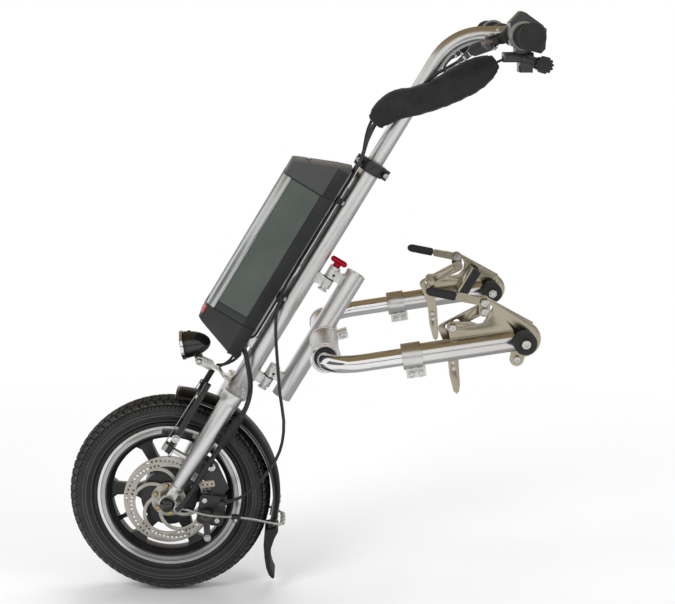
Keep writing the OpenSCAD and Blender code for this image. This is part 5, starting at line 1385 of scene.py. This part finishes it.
def make_seams(tree):
    """Hems, the flat seam and its two rows of stitches, laid on the sleeve."""
    rings = sleeve_rings(0.0)
    whole = Matrix.Diagonal((MM, MM, MM, 1.0))
    back = whole.inverted()

    def laid(points, lift):
        path = []
        for point in points:
            spot, normal, _, _ = tree.find_nearest(COLUMN @ point)
            path.append(back @ (spot + normal * lift * MM))
        return path

    def lengthways(share, lift):
        return laid([ring[int(len(ring) * share)] for ring in rings], lift)

    seam = Shape().tube(smooth_path(lengthways(0.39, 0.2), 3), 0.9, whole, 8)
    for index, r in ((1, 0.9), (3, 0.5), (-4, 0.5), (-2, 0.9)):
        seam.tube(laid(rings[index], 0.15), r, whole, 8, True)
    seam.piece("sleeve_seams", RUBBER, slot="neoprene")
    stitches = Shape()
    for share in (0.36, 0.42):
        line = smooth_path(lengthways(share, 0.25), 8)
        for k in range(6, len(line) - 9, 5):
            stitches.tube(line[k:k + 3], 0.32, whole, 5)
    stitches.piece("sleeve_stitches", JACKET, slot="neoprene")


make_sleeve()


# Mudguard's rim, the stay's fittings, and the clips and ties that hold the cables

STAY = ((16, -63.3, -5), (30, -67, -8), (56, -73, -14), (80, -72, -18), (102, -63, -22), (134, -46, -32),
        (162, -36, -42), (174, -30, -46), (177.5, -16, -46), (177.5, 0, -46))
GUARD_HALF = 30.6


def guard_point(angle, r, y):
    """Point about the mudguard's own middle, in the wheel's frame."""
    a = radians(angle)
    return (3.0 + r * cos(a), y, -1.0 + r * sin(a))


def make_guard_rim():
    """Rolled rim of the mudguard, a painted highlight line of bright steel inside it and the flap's rivets.
    """
    rim = Shape()
    trim = Shape()
    for s in (-1, 1):
        rim.tube([guard_point(85.6 - 103.4 * k / 90, 161.8, GUARD_HALF * s) for k in range(91)], 1.9, WHEEL)
        # Thin steel line along the guard's inner edge: a painted highlight standing in for that edge's
        # reflection
        trim.tube([guard_point(78.0 - 94.0 * k / 80, 159.7, 31.4 * s) for k in range(81)], 0.55, WHEEL, 6)
    across = []
    for k in range(33):
        turn = radians(-90.0 + 180.0 * k / 32)
        across.append((168.5 - 8.0 * abs(sin(turn)) ** 3 + 1.25, GUARD_HALF * sin(turn)))
    for angle, wide in ((85.8, 2.3), (-17.4, 1.9)):
        rim.tube([guard_point(angle, r, y) for r, y in across], wide, WHEEL)
    rim.piece("mudguard_rim", GLOSS)
    trim.piece("mudguard_highlight_line", STEEL)
    studs = Shape()
    for angle in (-4.0, -13.0):
        a = radians(angle)
        for y in (-12.0, 12.0):
            studs.button_bolt(aim(WHEEL, guard_point(angle, 170.4, y), (cos(a), 0, sin(a))), 3.6, 1.8)
    studs.piece("mudguard_rivets", STEEL)


def make_stay_fittings():
    """Eyes, a clip and screws on the mudguard's wire stay."""
    path = smooth_path(STAY, 8)
    bore = 2.05
    knobs = Shape()
    bolts = Shape()
    for s in (-1, 1):
        place = mirrored(WHEEL, s)
        clip = path[33]
        knobs.lathe([(3.4, -7.0), (4.6, -6.4), (5.2, -3.0), (5.2, 3.0), (4.6, 6.4), (3.4, 7.0)],
                    aim(place, clip, path[34] - path[32]), 20)
        knobs.prism(rounded(9.0, 11.0, 2.2, 4), -5.2, 4.4,
                    aim(place, clip + Vector((0.0, 0.0, -2.0)), Y_NEG), 0.8)
        bolts.socket_bolt(aim(place, clip + Vector((0.0, -5.2, -3.0)), Y_NEG), 2.8, 2.4)
        bolts.lathe([(bore, -2.0), (4.4, -2.0), (4.8, -1.4), (4.8, 3.4), (4.2, 4.0), (2.6, 6.4), (bore, 6.6)],
                    aim(place, path[0], path[1] - path[0]), 24)
        for i in (62, 70):
            bolts.ring([(bore, -2.0), (3.8, -1.8), (4.2, -1.2), (4.2, 1.2), (3.8, 1.8), (bore, 2.0)],
                       aim(place, path[i], path[i + 1] - path[i - 1]), 24)
    knobs.piece("stay_clips", PLASTIC)
    bolts.piece("stay_fittings", STEEL)


def make_cable_clips():
    """Connector in the motor's lead, clips that hold the lead to the fork leg, and clips on the column."""
    lead = smooth_path([(22.0, -64.0, 186.0), (20.0, -66.0, 150.0), (18.0, -66.0, 110.0)], 20)[4:34]
    last = len(lead) - 1
    half = last // 2

    def swell(i):
        ridge = 0.5 if i in (6, 7, last - 7, last - 6) else 0.0
        return 4.3 + 2.3 * step(min(i, last - i), 0.0, 3.0) + ridge

    plug = Shape().tube(lead, swell, COLUMN, 20)
    plug.lathe([(6.5, -1.4), (7.5, -1.4), (7.8, -0.9), (7.8, 0.9), (7.5, 1.4), (6.5, 1.4)],
               aim(COLUMN, lead[half], lead[half + 1] - lead[half - 1]), 28)
    plug.piece("motor_lead_connector", RUBBER, slot="cable_jacket")
    ties = Shape()
    lead = smooth_path([(20, -66, 150), (18, -66, 110), (16, -67, 70), (17, -69, 36)], 20)
    leg = Vector((-FORK_OFFSET, -LEG_Y))
    for index, leg_r in ((4, 14.3), (30, 14.0), (52, 11.8)):
        spot = lead[index].xy
        w = lead[index].z
        away = (spot - leg).normalized()
        ties.strap(((spot, 4.0), (leg + away * (leg_r + 1.4), 1.4)), w - 2.6, w + 2.6, 1.2, COLUMN)
        ties.prism(rounded(4.6, 5.2, 1.0, 3), 0.0, 2.4,
                   aim(COLUMN, (*(spot + away * 5.0), w), (*away, 0.0)), 0.5)
    ties.piece("cable_ties", PLASTIC)
    cable = Vector((-20.3, -16.6))
    seat = Vector((-9.6, -12.7))
    normal = seat.normalized()
    clips = Shape()
    screws = Shape()
    for w in (536.0, 363.0):
        clips.strap(((cable, 2.5), (seat + normal * 1.6, 1.4)), w - 5.0, w + 5.0, 1.0, COLUMN)
        spot = aim(COLUMN, (*(seat + normal * 4.2), w), (*normal, 0.0))
        screws.washer(spot, 4.6, 2.0, 0.8)
        screws.socket_bolt(spot, 3.3, 3.0)
    clips.piece("cable_clips", PLASTIC)
    screws.piece("cable_clip_screws", STEEL)


make_guard_rim()
make_stay_fittings()
make_cable_clips()


# Stage

WHITE = grey(1.0)


def seen_mask(tree):
    """1 for rays from the camera, a mirror or glass."""
    path = tree.nodes.new("ShaderNodeLightPath")
    mask = path.outputs["Is Camera Ray"]
    for name in ("Is Glossy Ray", "Is Transmission Ray"):
        both = tree.nodes.new("ShaderNodeMath")
        both.operation = "MAXIMUM"
        tree.links.new(mask, both.inputs[0])
        tree.links.new(path.outputs[name], both.inputs[1])
        mask = both.outputs[0]
    return mask


def make_world():
    """White surround to look at, with a plainer level of light from it."""
    world = bpy.data.worlds.new("world")
    bpy.context.scene.world = world
    world.use_nodes = True
    tree = world.node_tree
    tree.nodes.clear()
    out = tree.nodes.new("ShaderNodeOutputWorld")
    mix = tree.nodes.new("ShaderNodeMixShader")
    tree.links.new(seen_mask(tree), mix.inputs[0])
    for number, level in ((1, 0.42), (2, 1.0)):
        back = tree.nodes.new("ShaderNodeBackground")
        back.inputs["Color"].default_value = WHITE
        back.inputs["Strength"].default_value = level
        tree.links.new(back.outputs[0], mix.inputs[number])
    tree.links.new(mix.outputs[0], out.inputs[0])


def make_floor():
    """Pale floor that keeps the shadow near the object and fades to white further out."""
    mesh = bpy.data.meshes.new("floor")
    bm = bmesh.new()
    bmesh.ops.create_circle(bm, cap_ends=True, radius=9.0, segments=96)
    bm.to_mesh(mesh)
    bm.free()
    floor = new_object("floor", mesh)
    floor.location.z = -0.0006
    s = Surface("floor_pale")
    s.set(Base_Color=s.mix(s.noise(5.0, 3.0), grey(0.93), grey(0.90)), Roughness=0.75)
    far = s.remap(s.vector_math("LENGTH", s.coord).outputs["Value"], 0.55, 1.5)
    white = s.add("ShaderNodeEmission", Color=WHITE, Strength=1.0)
    mix = s.add("ShaderNodeMixShader")
    s.put(mix.inputs[0], s.times(far, seen_mask(s.tree)))
    s.put(mix.inputs[1], s.shader.outputs[0])
    s.put(mix.inputs[2], white.outputs[0])
    s.put(s.tree.nodes["Material Output"].inputs["Surface"], mix.outputs[0])
    mesh.materials.append(s.material)


def make_card(name, low, high, colour):
    """Flat card between two opposite corners, level or upright, that shows only in mirrors."""
    (x0, y0, z0), (x1, y1, z1) = low, high
    near, far = (y0, y1) if z0 == z1 else (y1, y0)
    corners = [low, (x1, near, z0), high, (x0, far, z1)]
    mesh = bpy.data.meshes.new(name)
    mesh.from_pydata(corners, [], [(0, 1, 2, 3)])
    obj = new_object(name, mesh)
    s = Surface(name)
    glow = s.add("ShaderNodeEmission", Color=rgba(*colour), Strength=1.0)
    s.put(s.tree.nodes["Material Output"].inputs["Surface"], glow.outputs[0])
    mesh.materials.append(s.material)
    for ray in ("camera", "diffuse", "shadow", "transmission", "volume_scatter"):
        setattr(obj, "visible_" + ray, False)


def area(name, place, target_z, span, power):
    """Soft light that faces a point over the origin and doesn't show in mirrors."""
    data = bpy.data.lights.new(name, "AREA")
    data.shape = "RECTANGLE"
    data.size, data.size_y = span
    data.energy = power
    obj = new_object(name, data)
    obj.location = place
    obj.rotation_euler = (Vector((0.0, 0.0, target_z)) - Vector(place)).to_track_quat("-Z", "Y").to_euler()
    obj.visible_glossy = False


make_world()
make_floor()
make_card("ceiling_card", (-2.6, -2.6, 2.9), (3.4, 4.2, 2.9), (0.26, 0.19, 0.10))
make_card("back_card", (-2.6, 4.2, 1.3), (3.4, 4.2, 2.9), (0.36, 0.28, 0.17))
make_card("horizon_card", (-4.0, -3.4, 0.30), (4.0, -3.4, 0.72), (0.03, 0.028, 0.026))
make_card("side_card", (-2.8, -2.4, 0.2), (-2.8, 0.6, 1.7), (0.16, 0.16, 0.16))
make_card("ground_card", (-0.3, -0.35, 0.003), (3.0, 3.0, 0.003), (0.40, 0.40, 0.41))
area("key", (-1.6, -2.2, 2.4), 0.45, (1.4, 1.4), 44.0)
area("fill", (2.2, -1.8, 1.8), 0.45, (1.6, 1.6), 20.0)
area("top", (0.2, 0.6, 2.7), 0.4, (1.8, 1.4), 28.0)
area("back", (0.4, 2.6, 1.8), 0.5, (1.8, 1.4), 22.0)
